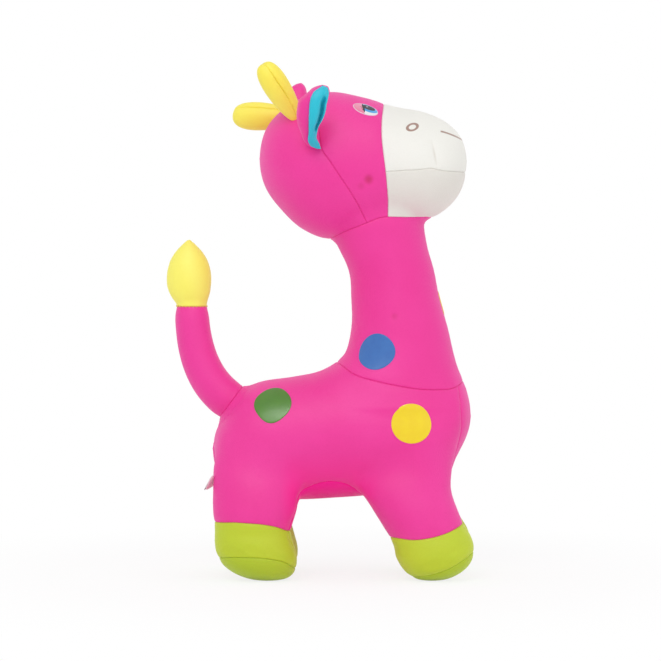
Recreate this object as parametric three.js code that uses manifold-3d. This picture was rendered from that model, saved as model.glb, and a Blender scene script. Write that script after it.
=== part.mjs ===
// A stuffed giraffe sewn from stretch knit, standing on four round feet.
// Millimetres, +Z up. +X is the way the giraffe looks, and its right side is -Y.
// The origin is on the floor, under the middle of the toy.
// The knit cover is cut into panels, and one filling runs through all of it.

import * as THREE from "three";
import { mergeVertices } from "three/addons/utils/BufferGeometryUtils.js";
import Module from "manifold-3d";

const wasm = await Module();
wasm.setup();

// Cover
const coverWall = 2.0; // knit with its seam allowance
const sewnGap = 0.3; // clearance between two pieces that touch
const overrun = 800; // how far a cutting block runs past its seam

// Torso
const torsoRearX = -72;
const torsoLength = 174;
const torsoFrontX = torsoRearX + torsoLength;
const bellyZ = 51.2;
const torsoHeight = 92;
const torsoWidth = 84;
// Rump to chest, in even turns of a half circle: underside, back and width.
const torsoShares = [
  { low: 0.4, high: 0.4, wide: 0 },
  { low: 0.16, high: 0.63, wide: 0.56 },
  { low: 0.04, high: 0.84, wide: 0.87 },
  { low: 0.004, high: 0.905, wide: 0.98 },
  { low: 0.02, high: 0.955, wide: 1.0 },
  { low: 0.05, high: 0.945, wide: 0.99 },
  { low: 0.08, high: 0.9, wide: 0.91 },
  { low: 0.38, high: 0.84, wide: 0.6 },
  { low: 0.62, high: 0.62, wide: 0 },
];
const bellyGussetHeight = 9; // how far it comes up round the belly
const chestGussetDepth = 9.5; // how far it turns back round the chest
const bellySeamZ = bellyZ + bellyGussetHeight;
const chestSeamX = torsoFrontX - chestGussetDepth;

// Neck
const neckSunk = 28; // how deep its foot is hidden in the torso
const neckTall = 144; // foot to top, with both hidden ends
const neckSetback = 49; // the middle of its foot, behind the chest
const neckRootX = torsoFrontX - neckSetback;
const neckRootZ = bellyZ + torsoHeight - neckSunk;
const neckTopZ = neckRootZ + neckTall;
const neckLean = 16; // how far back the neck is swept
const neckDepth = 83; // front to back
const neckWidth = 70; // side to side
// Foot to top in even steps: sweep, depth and width.
const neckShares = [
  { back: 0.06, deep: 1.0, wide: 1.0 },
  { back: 0.12, deep: 1.05, wide: 0.97 },
  { back: -0.06, deep: 0.88, wide: 0.88 },
  { back: -0.05, deep: 0.783, wide: 0.81 },
  { back: 0.12, deep: 0.723, wide: 0.77 },
  { back: 0.275, deep: 0.7, wide: 0.75 },
  { back: 0.68, deep: 0.737, wide: 0.76 },
  { back: 1.06, deep: 0.82, wide: 0.8 },
  { back: 1.2, deep: 0.86, wide: 0.8 },
];

// Head with its muzzle and chin
const headOverhang = 93.3; // the back of the head, behind the middle of the neck's foot
const headLength = 139.3;
const headSunk = 32; // how deep the neck's top is hidden in the head
const headRearX = neckRootX - headOverhang;
const headLowZ = neckTopZ - headSunk;
const headHeight = 99;
const headWidth = 87;
// Back of the head to the nose, in even turns of a half circle.
const headShares = [
  { low: 0.54, high: 0.54, wide: 0 },
  { low: 0.364, high: 0.727, wide: 0.4 },
  { low: 0.215, high: 0.86, wide: 0.72 },
  { low: 0.07, high: 0.96, wide: 0.93 },
  { low: 0.0, high: 1.0, wide: 1.0 },
  { low: 0.05, high: 0.963, wide: 0.97 },
  { low: 0.125, high: 0.9, wide: 0.93 },
  { low: 0.125, high: 0.862, wide: 0.9 },
  { low: 0.21, high: 0.79, wide: 0.77 },
  { low: 0.34, high: 0.68, wide: 0.46 },
  { low: 0.525, high: 0.525, wide: 0 },
];
const backLength = 41.3; // of the panel behind the ears
const muzzleLength = 55.5;
const earSeamX = headRearX + backLength; // the seam that drops forward from the ear
const earSeamShare = 0.586; // its height on the head, of the head's height
const earSeamTilt = -31; // degrees
const muzzleSeamX = headRearX + headLength - muzzleLength;
const muzzleSeamShare = 0.515;
const muzzleSeamTilt = -2.5;
const chinSeamShare = 0.46; // where the chin is sewn under the muzzle

// Legs: one form from the hip down to the sole
const hipRise = 46; // how high a leg is hidden in the torso
const hipZ = bellyZ + hipRise;
const legWidth = 41; // side to side at the foot
const legSpread = 28; // middle of a foot from the middle of the toy
const hindSetback = 29; // middle of a hind leg from the rump
const foreSetback = 39.7; // middle of a fore leg from the chest
const solePressed = 0.5; // how deep the floor presses a sole flat
const hindLeg = {
  name: "hind",
  x: torsoRearX + hindSetback,
  depth: 59, // front to back
  footSeamZ: 32.5,
  footSeamTilt: 6, // degrees, front down
  soleSeamZ: 9.8,
  soleSeamTilt: 7,
  // Hip to floor: height, forward of the leg's x, depth, width and spread.
  shares: [
    { height: 1.0, fore: 0.03, deep: 0.72, wide: 0.6, spread: 0.62 },
    { height: 0.794, fore: 0.0, deep: 0.93, wide: 0.84, spread: 0.76 },
    { height: 0.64, fore: 0.01, deep: 0.975, wide: 0.96, spread: 0.88 },
    { height: 0.486, fore: -0.002, deep: 0.95, wide: 0.98, spread: 0.97 },
    { height: 0.383, fore: -0.018, deep: 0.88, wide: 0.95, spread: 1.0 },
    { height: 0.336, fore: -0.023, deep: 0.865, wide: 0.93, spread: 1.0 },
    { height: 0.27, fore: -0.012, deep: 0.89, wide: 0.98, spread: 1.0 },
    { height: 0.177, fore: 0.025, deep: 0.9, wide: 1.0, spread: 1.0 },
    { height: 0.1, fore: 0.065, deep: 0.81, wide: 0.9, spread: 1.0 },
    { height: 0.04, fore: 0.115, deep: 0.6, wide: 0.64, spread: 1.0 },
    { height: 0.01, fore: 0.14, deep: 0.34, wide: 0.36, spread: 1.0 },
  ],
};
const foreLeg = {
  name: "fore",
  x: torsoFrontX - foreSetback,
  depth: 59.4,
  footSeamZ: 28.7,
  footSeamTilt: -11,
  soleSeamZ: 6.4,
  soleSeamTilt: -20,
  shares: [
    { height: 1.0, fore: 0.0, deep: 0.72, wide: 0.6, spread: 0.62 },
    { height: 0.794, fore: -0.02, deep: 0.92, wide: 0.84, spread: 0.76 },
    { height: 0.619, fore: -0.065, deep: 1.0, wide: 0.96, spread: 0.88 },
    { height: 0.486, fore: 0.03, deep: 0.95, wide: 0.98, spread: 0.97 },
    { height: 0.383, fore: 0.12, deep: 0.92, wide: 0.95, spread: 1.0 },
    { height: 0.311, fore: 0.19, deep: 0.92, wide: 0.93, spread: 1.0 },
    { height: 0.239, fore: 0.235, deep: 0.9, wide: 0.98, spread: 1.0 },
    { height: 0.167, fore: 0.243, deep: 0.867, wide: 1.0, spread: 1.0 },
    { height: 0.1, fore: 0.243, deep: 0.75, wide: 0.9, spread: 1.0 },
    { height: 0.04, fore: 0.226, deep: 0.53, wide: 0.64, spread: 1.0 },
    { height: 0.01, fore: 0.213, deep: 0.3, wide: 0.36, spread: 1.0 },
  ],
};

// Tail with its tuft
const tailRootX = -59.5;
const tailSwing = 15; // degrees that the tail can bend
const tailRootRise = 36.9; // degrees above straight back
const tailReach = 24; // how far back of its root the tail stands
const tailRise = 62.6; // root to tuft
const tailDiameter = 23.2;
const tailRootDiameter = 26;
const tuftLength = 44.5;
const tuftDepth = 30.6;
const tuftWidth = 27;
const tuftBulgeShares = [0.7, 0.9, 0.985, 1.0, 0.93, 0.78, 0.5, 0.14];

// Horns, each on a round root in a dimple of the head
const hornLength = 42.5;
const hornDiameter = 18.2;
const hornRootDiameter = 10;
const hornSetback = 15.5; // behind the ear's seam
const hornRootX = earSeamX - hornSetback;
const hornRootTurn = 43.5; // degrees above the side of the head
const hornBluntness = 10; // more is a rounder end
const hornSwing = 50; // degrees that a horn can lean from square to the head
const hornBulgeShares = [0.0, 0.25, 0.6, 0.84, 0.96, 1.0, 0.98, 0.92, 0.8];
const hornRightWay = { x: -0.52, out: 0.25, z: 0.82 };
const hornLeftWay = { x: -0.96, out: 0.27, z: 0.04 }; // this one has flopped backwards

// Ears: a pink shell with a blue lining, curled lengthways and sewn in at the foot
const earLength = 43;
const earRadius = 14.5; // of the curl, front to back
const earFlatShare = 0.72; // the curl is flatter from side to side
const earShell = 1.6; // thickness of the pink layer
const earLining = 2.6; // thickness of the padded blue layer
const earRootDiameter = 8;
const earSetback = 0.5;
const earRootX = earSeamX - earSetback;
const earRootTurns = { right: 12, left: 22.5 }; // degrees above the side of the head
const earSwing = 20; // degrees that an ear can bend
const earOuterWrap = 100; // degrees that its outer edge curls round
const earInnerWrap = 82; // degrees that the edge beside the head curls round
const earOpenTurn = 40; // degrees that the opening turns from ahead to the side
const earRightLean = 1.5; // degrees forward
const earLeftLean = -20;
const earSplay = 13; // degrees outward
const earBowShare = 0.06; // how far the middle bows back, of its length
const earStandShare = 0.62; // how far the curl stands off the head, of its radius
const earRadiusShares = [0.26, 0.66, 0.9, 1.0, 0.97, 0.8, 0.54, 0.22];
const earCoreShare = 0.25; // the hollow left in the curl, of its flat radius
const earRows = 7; // facets from foot to tip
const earColumns = 8; // facets round the curl
const earLiningShares = { foot: 0.143, tip: 0.943 }; // where it begins and ends on the ear

// Eyes and printed spots: thin films on the knit
const filmThickness = 0.5;
const filmReach = 20; // how far the film is followed into and out of the form's curve
const eyeLength = 17.5;
const eyeWidth = 11.4;
const eyeSetback = 11.5; // behind the muzzle's seam
const eyeX = muzzleSeamX - eyeSetback;
const eyeTurn = 51; // degrees above the side of the head
const eyeRoll = 16; // degrees, front corner down
const spotDiameter = 25;
const chestSpotDiameter = 26.5;
const throatSpotDiameter = 19;
const hipSpotSetback = 40.3; // from the rump
const chestSpotSetback = 39.6; // from the chest
const neckSpotRise = 36.2; // from the neck's foot
const throatSpotRise = 67;
const hipSpotX = torsoRearX + hipSpotSetback;
const hipSpotTurn = 28; // degrees above the side of the torso
const chestSpotX = torsoFrontX - chestSpotSetback;
const chestSpotTurn = 6;
const neckSpotZ = neckRootZ + neckSpotRise;
const neckSpotTurn = 21; // degrees behind the side of the neck
const throatSpotZ = neckRootZ + throatSpotRise;
const throatSpotTurn = -72; // from the left side of the neck to its front

// Care label: a ribbon folded into a loop, sewn into the back seam of the right hind leg
const labelWidth = 15;
const labelLength = 9;
const labelRibbon = 0.5;
const labelDepth = 2.0; // outside, across the loop
const labelHeightShare = 0.7; // its height, of the hip's
const labelDrop = 50; // degrees below straight back

// How finely the forms are faceted
const outside = { big: 18, limb: 14, small: 10 };
const inside = { big: 10, limb: 8 };
const filmSides = 16;
const torsoRings = { outside: 12, inside: 8 };
const headRings = { outside: 14, inside: 9 };
const neckRings = 9;
const tailRings = 7;
const hornRings = 8;

const knit = (color) => new THREE.MeshStandardMaterial({ color, roughness: 0.6, metalness: 0 });
const pink = knit(0xf04a9e);
const white = knit(0xf1f0eb);
const lime = knit(0xc5d33d);
const sole = knit(0xaebf33);
const yellow = knit(0xfcf080);
const blue = knit(0x2ec4dc);
const print = (color) => new THREE.MeshStandardMaterial({ color, roughness: 0.35, metalness: 0 });
const fibre = new THREE.MeshStandardMaterial({ color: 0xf4f4f0, roughness: 0.95, metalness: 0 });

const alongX = new THREE.Vector3(1, 0, 0);
const alongY = new THREE.Vector3(0, 1, 0);
const alongZ = new THREE.Vector3(0, 0, 1);
const radians = THREE.MathUtils.degToRad;
const lerp = THREE.MathUtils.lerp;

// A closed body from points and faces, turned so that its faces look out.
function bodyOf(points, faces) {
  let volume = 0;
  for (let f = 0; f < faces.length; f += 3) {
    const [a, b, c] = [points[faces[f]], points[faces[f + 1]], points[faces[f + 2]]];
    volume += a.dot(b.clone().cross(c));
  }
  const geometry = new THREE.BufferGeometry().setFromPoints(points);
  geometry.setIndex(volume < 0 ? faces.slice().reverse() : faces);
  return solidOf(geometry);
}

function solidOf(geometry) {
  const bare = geometry.clone();
  bare.deleteAttribute("normal");
  bare.deleteAttribute("uv");
  const merged = mergeVertices(bare);
  const count = merged.attributes.position.count;
  const triVerts = merged.index ? merged.index.array : Array.from({ length: count }, (_, i) => i);
  return new wasm.Manifold(
    new wasm.Mesh({
      numProp: 3,
      vertProperties: new Float32Array(merged.attributes.position.array),
      triVerts: new Uint32Array(triVerts),
    }),
  );
}

function geometryOf(solid) {
  const { numProp, numVert, vertProperties, triVerts } = solid.getMesh();
  const positions = new Float32Array(numVert * 3);
  for (let i = 0; i < numVert; i++) {
    positions.set(vertProperties.subarray(i * numProp, i * numProp + 3), i * 3);
  }
  const geometry = new THREE.BufferGeometry();
  geometry.setAttribute("position", new THREE.BufferAttribute(positions, 3));
  geometry.setIndex(new THREE.BufferAttribute(new Uint32Array(triVerts), 1));
  geometry.computeVertexNormals();
  return geometry;
}

// The largest body of a cut, without the slivers that a cut may leave.
const largest = (solid) => solid.decompose().sort((a, b) => b.volume() - a.volume())[0];

// A skin over rings of points, closed at a point beyond each end.
function skinOver(rings, first, last) {
  const sides = rings[0].length;
  const points = [first, ...rings.flat(), last];
  const end = points.length - 1;
  const at = (ring, side) => 1 + ring * sides + (side % sides);
  const faces = [];
  for (let side = 0; side < sides; side++) {
    faces.push(0, at(0, side + 1), at(0, side));
    for (let ring = 0; ring + 1 < rings.length; ring++) {
      faces.push(at(ring, side), at(ring, side + 1), at(ring + 1, side));
      faces.push(at(ring, side + 1), at(ring + 1, side + 1), at(ring + 1, side));
    }
    faces.push(end, at(rings.length - 1, side), at(rings.length - 1, side + 1));
  }
  return bodyOf(points, faces);
}

// A slab between two sheets of points that have the same rows and columns.
function slabBetween(front, back) {
  const rows = front.length;
  const columns = front[0].length;
  const points = [...front.flat(), ...back.flat()];
  const at = (layer, row, column) => (layer * rows + row) * columns + column;
  const faces = [];
  const quad = (a, b, c, d) => faces.push(a, b, c, a, c, d);
  for (let row = 0; row + 1 < rows; row++) {
    for (let column = 0; column + 1 < columns; column++) {
      const corners = (layer) => [
        at(layer, row, column),
        at(layer, row, column + 1),
        at(layer, row + 1, column + 1),
        at(layer, row + 1, column),
      ];
      quad(...corners(0));
      quad(...corners(1).reverse());
    }
    quad(at(0, row + 1, 0), at(1, row + 1, 0), at(1, row, 0), at(0, row, 0));
    const edge = columns - 1;
    quad(at(0, row, edge), at(1, row, edge), at(1, row + 1, edge), at(0, row + 1, edge));
  }
  for (let column = 0; column + 1 < columns; column++) {
    quad(at(0, 0, column), at(1, 0, column), at(1, 0, column + 1), at(0, 0, column + 1));
    const row = rows - 1;
    quad(at(0, row, column + 1), at(1, row, column + 1), at(1, row, column), at(0, row, column));
  }
  return bodyOf(points, faces);
}

// A smooth run through evenly spaced rows of shares, each row a list of up to three numbers.
function smooth(rows) {
  const knots = rows.map(([a, b = 0, c = 0]) => new THREE.Vector3(a, b, c));
  const curve = new THREE.CatmullRomCurve3(knots, false, "catmullrom");
  return (t) => curve.getPoint(t).toArray();
}

// One section of a form: its centre and its two half axes. Turns start at +Y.
function sectionPoint({ centre, halfA, halfB }, turn) {
  return centre.clone().addScaledVector(halfA, Math.cos(turn)).addScaledVector(halfB, Math.sin(turn));
}
function ringOf(section, sides) {
  return Array.from({ length: sides }, (_, i) => sectionPoint(section, (2 * Math.PI * i) / sides));
}

// A stuffed form that lies along X between two round ends. grow swells it on every side.
function lyingForm(rearX, length, lowZ, height, width, shares) {
  const shareAt = smooth(shares.map((s) => [s.low, s.high, s.wide]));
  const section = (t, grow = 0) => {
    const [low, high, wide] = shareAt(t);
    const x = rearX - grow + ((length + 2 * grow) * (1 - Math.cos(Math.PI * t))) / 2;
    const swell = grow * Math.sin(Math.PI * t);
    return {
      centre: new THREE.Vector3(x, 0, lowZ + (height * (low + high)) / 2),
      halfA: alongY.clone().multiplyScalar((width * wide) / 2 + swell),
      halfB: alongZ.clone().multiplyScalar((height * (high - low)) / 2 + swell),
    };
  };
  const solid = (grow, ringCount, sides) => {
    const rings = [];
    for (let ring = 1; ring < ringCount; ring++) {
      rings.push(ringOf(section(ring / ringCount, grow), sides));
    }
    return skinOver(rings, section(0, grow).centre, section(1, grow).centre);
  };
  const shareAtX = (x) => Math.acos(1 - (2 * (x - rearX)) / length) / Math.PI;
  return { section, solid, shareAtX };
}

const torsoForm = lyingForm(torsoRearX, torsoLength, bellyZ, torsoHeight, torsoWidth, torsoShares);
const headForm = lyingForm(headRearX, headLength, headLowZ, headHeight, headWidth, headShares);

// The neck stands between the torso and the head. Half turns run from +Y over the back.
const neckForm = {
  section(t, grow = 0) {
    const [back, deep, wide] = neckShareAt(t);
    return {
      centre: new THREE.Vector3(neckRootX - neckLean * back, 0, lerp(neckRootZ, neckTopZ, t)),
      halfA: alongY.clone().multiplyScalar((neckWidth * wide) / 2 + grow),
      halfB: alongX.clone().multiplyScalar((-neckDepth * deep) / 2 - grow),
    };
  },
  solid(grow, ringCount, sides) {
    const rings = [];
    for (let ring = 0; ring <= ringCount; ring++) {
      rings.push(ringOf(neckForm.section(ring / ringCount, grow), sides));
    }
    return skinOver(rings, neckForm.section(0).centre, neckForm.section(1).centre);
  },
  shareAtZ: (z) => (z - neckRootZ) / (neckTopZ - neckRootZ),
};
const neckShareAt = smooth(neckShares.map((s) => [s.back, s.deep, s.wide]));

// A leg with its foot. side is -1 on the right and 1 on the left.
function legForm({ x, depth, shares }, side) {
  const section = (row, grow = 0) => ({
    centre: new THREE.Vector3(
      x + depth * row.fore,
      side * legSpread * row.spread,
      hipZ * row.height - solePressed,
    ),
    halfA: alongY.clone().multiplyScalar((legWidth * row.wide) / 2 + grow),
    halfB: alongX.clone().multiplyScalar((depth * row.deep) / 2 + grow),
  });
  const solid = (grow, sides) => {
    const rows = grow < 0 ? shares.filter((row) => hipZ * row.height > -2 * grow) : shares;
    const rings = rows.map((row) => ringOf(section(row, grow), sides));
    const toe = section(rows.at(-1)).centre.setZ(-solePressed - grow);
    return skinOver(rings, section(rows[0]).centre, toe);
  };
  return { section, solid };
}

// A point on a form, and the way out of the form there.
function seatOn(form, t, degrees) {
  const turn = radians(degrees);
  const step = 0.001;
  const point = sectionPoint(form.section(t), turn);
  const along = sectionPoint(form.section(t + step), turn).sub(sectionPoint(form.section(t - step), turn));
  const round = sectionPoint(form.section(t), turn + step).sub(sectionPoint(form.section(t), turn - step));
  const out = along.cross(round).normalize();
  if (out.dot(point.clone().sub(form.section(t).centre)) < 0) out.negate();
  return { point, out };
}
const onSide = (side, degrees) => (side > 0 ? degrees : 180 - degrees);

// Everything on one side of a plane, as a large block. way points into the block.
function blockBeyond(point, way, tilt) {
  const block = new THREE.BoxGeometry(overrun, overrun, overrun);
  block.translate(...way.clone().multiplyScalar(overrun / 2).toArray());
  block.rotateY(radians(tilt));
  block.translate(...point.toArray());
  return solidOf(block);
}
const flip = (way) => way.clone().negate();
const seamSide = (x, y, z, way, tilt = 0) => {
  const lean = way.clone().applyAxisAngle(alongY, radians(tilt));
  return blockBeyond(new THREE.Vector3(x, y, z).addScaledVector(lean, sewnGap / 2), way, tilt);
};
const sideHalf = (side) => seamSide(0, 0, 0, alongY.clone().multiplyScalar(side));

function ball(centre, diameter) {
  const rows = outside.small / 2;
  return solidOf(
    new THREE.SphereGeometry(diameter / 2, outside.small, rows).translate(...centre.toArray()),
  );
}

// The middle of a round root, which stands off its form by as much as its swing needs.
function rootOn(form, x, degrees, diameter, swing) {
  const { point, out } = seatOn(form, form.shareAtX(x), degrees);
  return point.addScaledVector(out, (diameter / 2) * Math.sin(radians(swing)));
}

const share = (rows) => {
  const valueAt = smooth(rows.map((v) => [v]));
  return (t) => valueAt(t)[0];
};

// A stuffed piece that follows a curve. radii gives its half width across Y and the other way.
// Its end is a point, or a flat end where radii stays above zero and blunt is true.
function limbAlong(curve, radii, ringCount, blunt = false) {
  const rings = [];
  for (let ring = 0; ring < ringCount + (blunt ? 1 : 0); ring++) {
    const t = ring / ringCount;
    const way = curve.getTangent(t).normalize();
    const across = alongY.clone().addScaledVector(way, -alongY.dot(way)).normalize();
    const [radiusA, radiusB] = radii(t);
    rings.push(
      ringOf(
        {
          centre: curve.getPoint(t),
          halfA: across.clone().multiplyScalar(radiusA),
          halfB: way.clone().cross(across).multiplyScalar(radiusB),
        },
        outside.small,
      ),
    );
  }
  return skinOver(rings, curve.getPoint(0), curve.getPoint(1));
}

// Tail: it leaves the rump slanting back and ends straight up.
const tailRoot = rootOn(torsoForm, tailRootX, 90, tailRootDiameter, tailSwing);
const tailEnd = tailRoot.clone().add(new THREE.Vector3(-tailReach, 0, tailRise));
const tailBendZ = tailRoot.z + tailReach * Math.tan(radians(tailRootRise));
const tailBend = new THREE.Vector3(tailEnd.x, 0, tailBendZ);
function tailSolid() {
  const curve = new THREE.QuadraticBezierCurve3(tailRoot, tailBend, tailEnd);
  const radii = (t) => {
    const radius = lerp(tailRootDiameter, tailDiameter, Math.min(1, 2 * t)) / 2;
    return [radius, radius];
  };
  return limbAlong(curve, radii, tailRings, true).add(ball(tailRoot, tailRootDiameter));
}

// Tuft: a flame on the tail's end.
function tuftSolid() {
  const foot = tailEnd.clone().addScaledVector(alongZ, sewnGap);
  const tip = foot.clone().addScaledVector(alongZ, tuftLength - sewnGap);
  const bulge = share(tuftBulgeShares);
  return limbAlong(
    new THREE.LineCurve3(foot, tip),
    (t) => [(tuftWidth * bulge(t)) / 2, (tuftDepth * bulge(t)) / 2],
    hornRings,
  );
}

const hornRoot = (side) =>
  rootOn(headForm, hornRootX, onSide(side, hornRootTurn), hornRootDiameter, hornSwing);
const earRoot = (side) => {
  const turn = side > 0 ? earRootTurns.left : earRootTurns.right;
  return rootOn(headForm, earRootX, onSide(side, turn), earRootDiameter, earSwing);
};

function hornSolid(side, { x, out, z }) {
  const root = hornRoot(side);
  const way = new THREE.Vector3(x, side * out, z).normalize();
  const curve = new THREE.LineCurve3(root, root.clone().addScaledVector(way, hornLength));
  const bulge = share(hornBulgeShares);
  const radii = (t) => {
    const radius = lerp(hornRootDiameter, hornDiameter, bulge(t)) / 2;
    const rounded = radius * Math.sqrt(1 - t ** hornBluntness);
    return [rounded, rounded];
  };
  return limbAlong(curve, radii, hornRings).add(ball(root, hornRootDiameter));
}

// Ear: one curled layer. depth is how far it lies inside the curl's outer face.
function earLayer(side, lean, depth, thickness, reachShares) {
  const radiusAt = share(earRadiusShares);
  const turnFrom = 180 + earOpenTurn - earOuterWrap;
  const turnTo = 180 + earOpenTurn + earInnerWrap;
  const place = new THREE.Matrix4()
    .makeTranslation(...earRoot(side).toArray())
    .multiply(new THREE.Matrix4().makeRotationX(radians(-side * earSplay)))
    .multiply(new THREE.Matrix4().makeRotationY(radians(lean)));
  const wholeRow = (row, inset) => {
    const t = row / earRows;
    const radius = earRadius * radiusAt(t);
    const flatRadius = radius * earFlatShare;
    const deep = Math.min(inset, flatRadius * (1 - earCoreShare));
    const bow = -4 * earLength * earBowShare * t * (1 - t);
    return Array.from({ length: earColumns + 1 }, (_, column) => {
      const turn = radians(lerp(turnFrom, turnTo, column / earColumns));
      const out = radius * earStandShare + (flatRadius - deep) * Math.sin(turn);
      const fore = bow + (radius - deep) * Math.cos(turn);
      return new THREE.Vector3(fore, side * out, earLength * t).applyMatrix4(place);
    });
  };
  const sheetRow = (row, inset) => {
    const upper = wholeRow(Math.ceil(row), inset);
    return wholeRow(Math.floor(row), inset).map((p, i) => p.lerp(upper[i], row % 1));
  };
  const rows = [earRows * reachShares.foot];
  const lastRow = earRows * reachShares.tip;
  while (rows.at(-1) < lastRow) rows.push(Math.min(Math.floor(rows.at(-1)) + 1, lastRow));
  const sheet = (inset) => rows.map((row) => sheetRow(row, inset));
  return slabBetween(sheet(depth), sheet(depth + thickness));
}

// A thin film on a form: an oval post's share of a thin layer over it.
function filmOn(form, layers, t, degrees, length, width, roll) {
  const { point, out } = seatOn(form, t, degrees);
  const post = new THREE.CylinderGeometry(1, 1, 1, filmSides);
  post.scale(length / 2, filmReach, width / 2);
  const upright = alongZ.clone().addScaledVector(out, -alongZ.dot(out)).normalize();
  const ahead = out.clone().cross(upright).multiplyScalar(out.y > 0 ? -1 : 1);
  const axis = new THREE.Matrix4().makeBasis(ahead, out, ahead.clone().cross(out));
  post.rotateY(radians(roll));
  post.applyMatrix4(axis.setPosition(point));
  return largest(solidOf(post).intersect(layers));
}
function layerOver(solid) {
  return solid(sewnGap + filmThickness).subtract(solid(sewnGap));
}

// Care label: its root end is round about the line that it bends on.
const labelRoot = (() => {
  const { shares, x, depth } = hindLeg;
  const next = shares.findIndex((row) => row.height < labelHeightShare);
  const [above, below] = [shares[next - 1], shares[next]];
  const part = (above.height - labelHeightShare) / (above.height - below.height);
  const at = (size) => THREE.MathUtils.lerp(above[size], below[size], part);
  const flatReach = ((depth * at("deep")) / 2) * Math.cos(Math.PI / outside.limb);
  return new THREE.Vector3(
    x + depth * at("fore") - flatReach - labelDepth / 2 - sewnGap,
    -legSpread * at("spread"),
    hipZ * labelHeightShare - solePressed,
  );
})();
function labelSolid() {
  const radius = labelDepth / 2;
  const outline = new THREE.Shape();
  outline.absarc(0, 0, radius, Math.PI / 2, (3 * Math.PI) / 2, false);
  outline.absarc(labelLength - radius, 0, radius, (-1 * Math.PI) / 2, Math.PI / 2, false);
  outline.closePath();
  const fold = new THREE.Path();
  const inner = radius - labelRibbon;
  fold.absarc(labelLength - radius, 0, inner, Math.PI / 2, (-1 * Math.PI) / 2, true);
  fold.absarc(radius, 0, inner, (-1 * Math.PI) / 2, (-3 * Math.PI) / 2, true);
  outline.holes.push(fold);
  const ribbon = new THREE.ExtrudeGeometry(outline, {
    depth: labelWidth,
    bevelEnabled: false,
    curveSegments: 5,
  });
  ribbon.translate(0, 0, -labelWidth / 2).rotateX(Math.PI / 2);
  ribbon.rotateY(radians(180 - labelDrop)).translate(...labelRoot.toArray());
  return solidOf(ribbon);
}

// Solids that several pieces share
const torsoOuter = torsoForm.solid(0, torsoRings.outside, outside.big);
const torsoInner = torsoForm.solid(-coverWall, torsoRings.inside, inside.big);
const torsoGrown = torsoForm.solid(sewnGap, torsoRings.outside, outside.big);
const headOuter = headForm.solid(0, headRings.outside, outside.big);
const headInner = headForm.solid(-coverWall, headRings.inside, inside.big);
const headGrown = headForm.solid(sewnGap, headRings.outside, outside.big);
const neckOuter = neckForm.solid(0, neckRings, outside.big);
const neckInner = neckForm.solid(-coverWall, neckRings, inside.big);
// A dimple clears the round root that turns in it, corners included.
const dimple = (centre, diameter) =>
  ball(centre, (diameter + 2 * sewnGap) / Math.cos(Math.PI / outside.small));
const sides = [
  { side: -1, name: "right", hornWay: hornRightWay, earLean: earRightLean },
  { side: 1, name: "left", hornWay: hornLeftWay, earLean: earLeftLean },
];
const legs = sides.flatMap(({ side, name }) =>
  [hindLeg, foreLeg].map((leg) => ({ ...leg, side, sideName: name, form: legForm(leg, side) })),
);
const dimples = sides
  .flatMap(({ side }) => [
    dimple(hornRoot(side), hornRootDiameter),
    dimple(earRoot(side), earRootDiameter),
  ])
  .concat([dimple(tailRoot, tailRootDiameter)])
  .reduce((a, b) => a.add(b));

const toy = new THREE.Group();
function add(name, solid, material) {
  const mesh = new THREE.Mesh(geometryOf(solid), material);
  mesh.name = name;
  toy.add(mesh);
}

// Torso cover, open into the neck and the legs.
let torsoCover = torsoOuter.subtract(torsoInner).subtract(neckInner).subtract(dimples);
for (const { form } of legs) torsoCover = torsoCover.subtract(form.solid(-coverWall, inside.limb));
const chestFront = seamSide(chestSeamX, 0, 0, alongX);
const chestRear = seamSide(chestSeamX, 0, 0, flip(alongX));
const overBelly = seamSide(0, 0, bellySeamZ, alongZ);
const underBelly = seamSide(0, 0, bellySeamZ, flip(alongZ));
add("belly_gusset", largest(torsoCover.intersect(chestRear).intersect(underBelly)), pink);
add("chest_gusset", largest(torsoCover.intersect(chestFront)), pink);
for (const { side, name } of sides) {
  const panel = torsoCover.intersect(chestRear).intersect(overBelly).intersect(sideHalf(side));
  add(`torso_panel_${name}`, largest(panel), pink);
}

// Neck cover, open at both ends.
const neckCover = neckOuter.subtract(neckInner).subtract(torsoGrown).subtract(headGrown);
for (const { side, name } of sides) {
  add(`neck_panel_${name}`, largest(neckCover.intersect(sideHalf(side))), pink);
}

// Head cover
const headCover = headOuter.subtract(headInner).subtract(neckInner).subtract(dimples);
const headZ = (heightShare) => headLowZ + headHeight * heightShare;
const earSeam = (way) => seamSide(earSeamX, 0, headZ(earSeamShare), way, earSeamTilt);
const muzzleSeam = (way) => seamSide(muzzleSeamX, 0, headZ(muzzleSeamShare), way, muzzleSeamTilt);
const chinSeam = (way) => seamSide(0, 0, headZ(chinSeamShare), way);
const face = headCover.intersect(earSeam(alongX)).intersect(muzzleSeam(flip(alongX)));
const snout = headCover.intersect(muzzleSeam(alongX));
add("head_back", largest(headCover.intersect(earSeam(flip(alongX)))), pink);
add("face", largest(face), pink);
add("muzzle", largest(snout.intersect(chinSeam(alongZ))), white);
add("chin", largest(snout.intersect(chinSeam(flip(alongZ)))), white);

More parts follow.
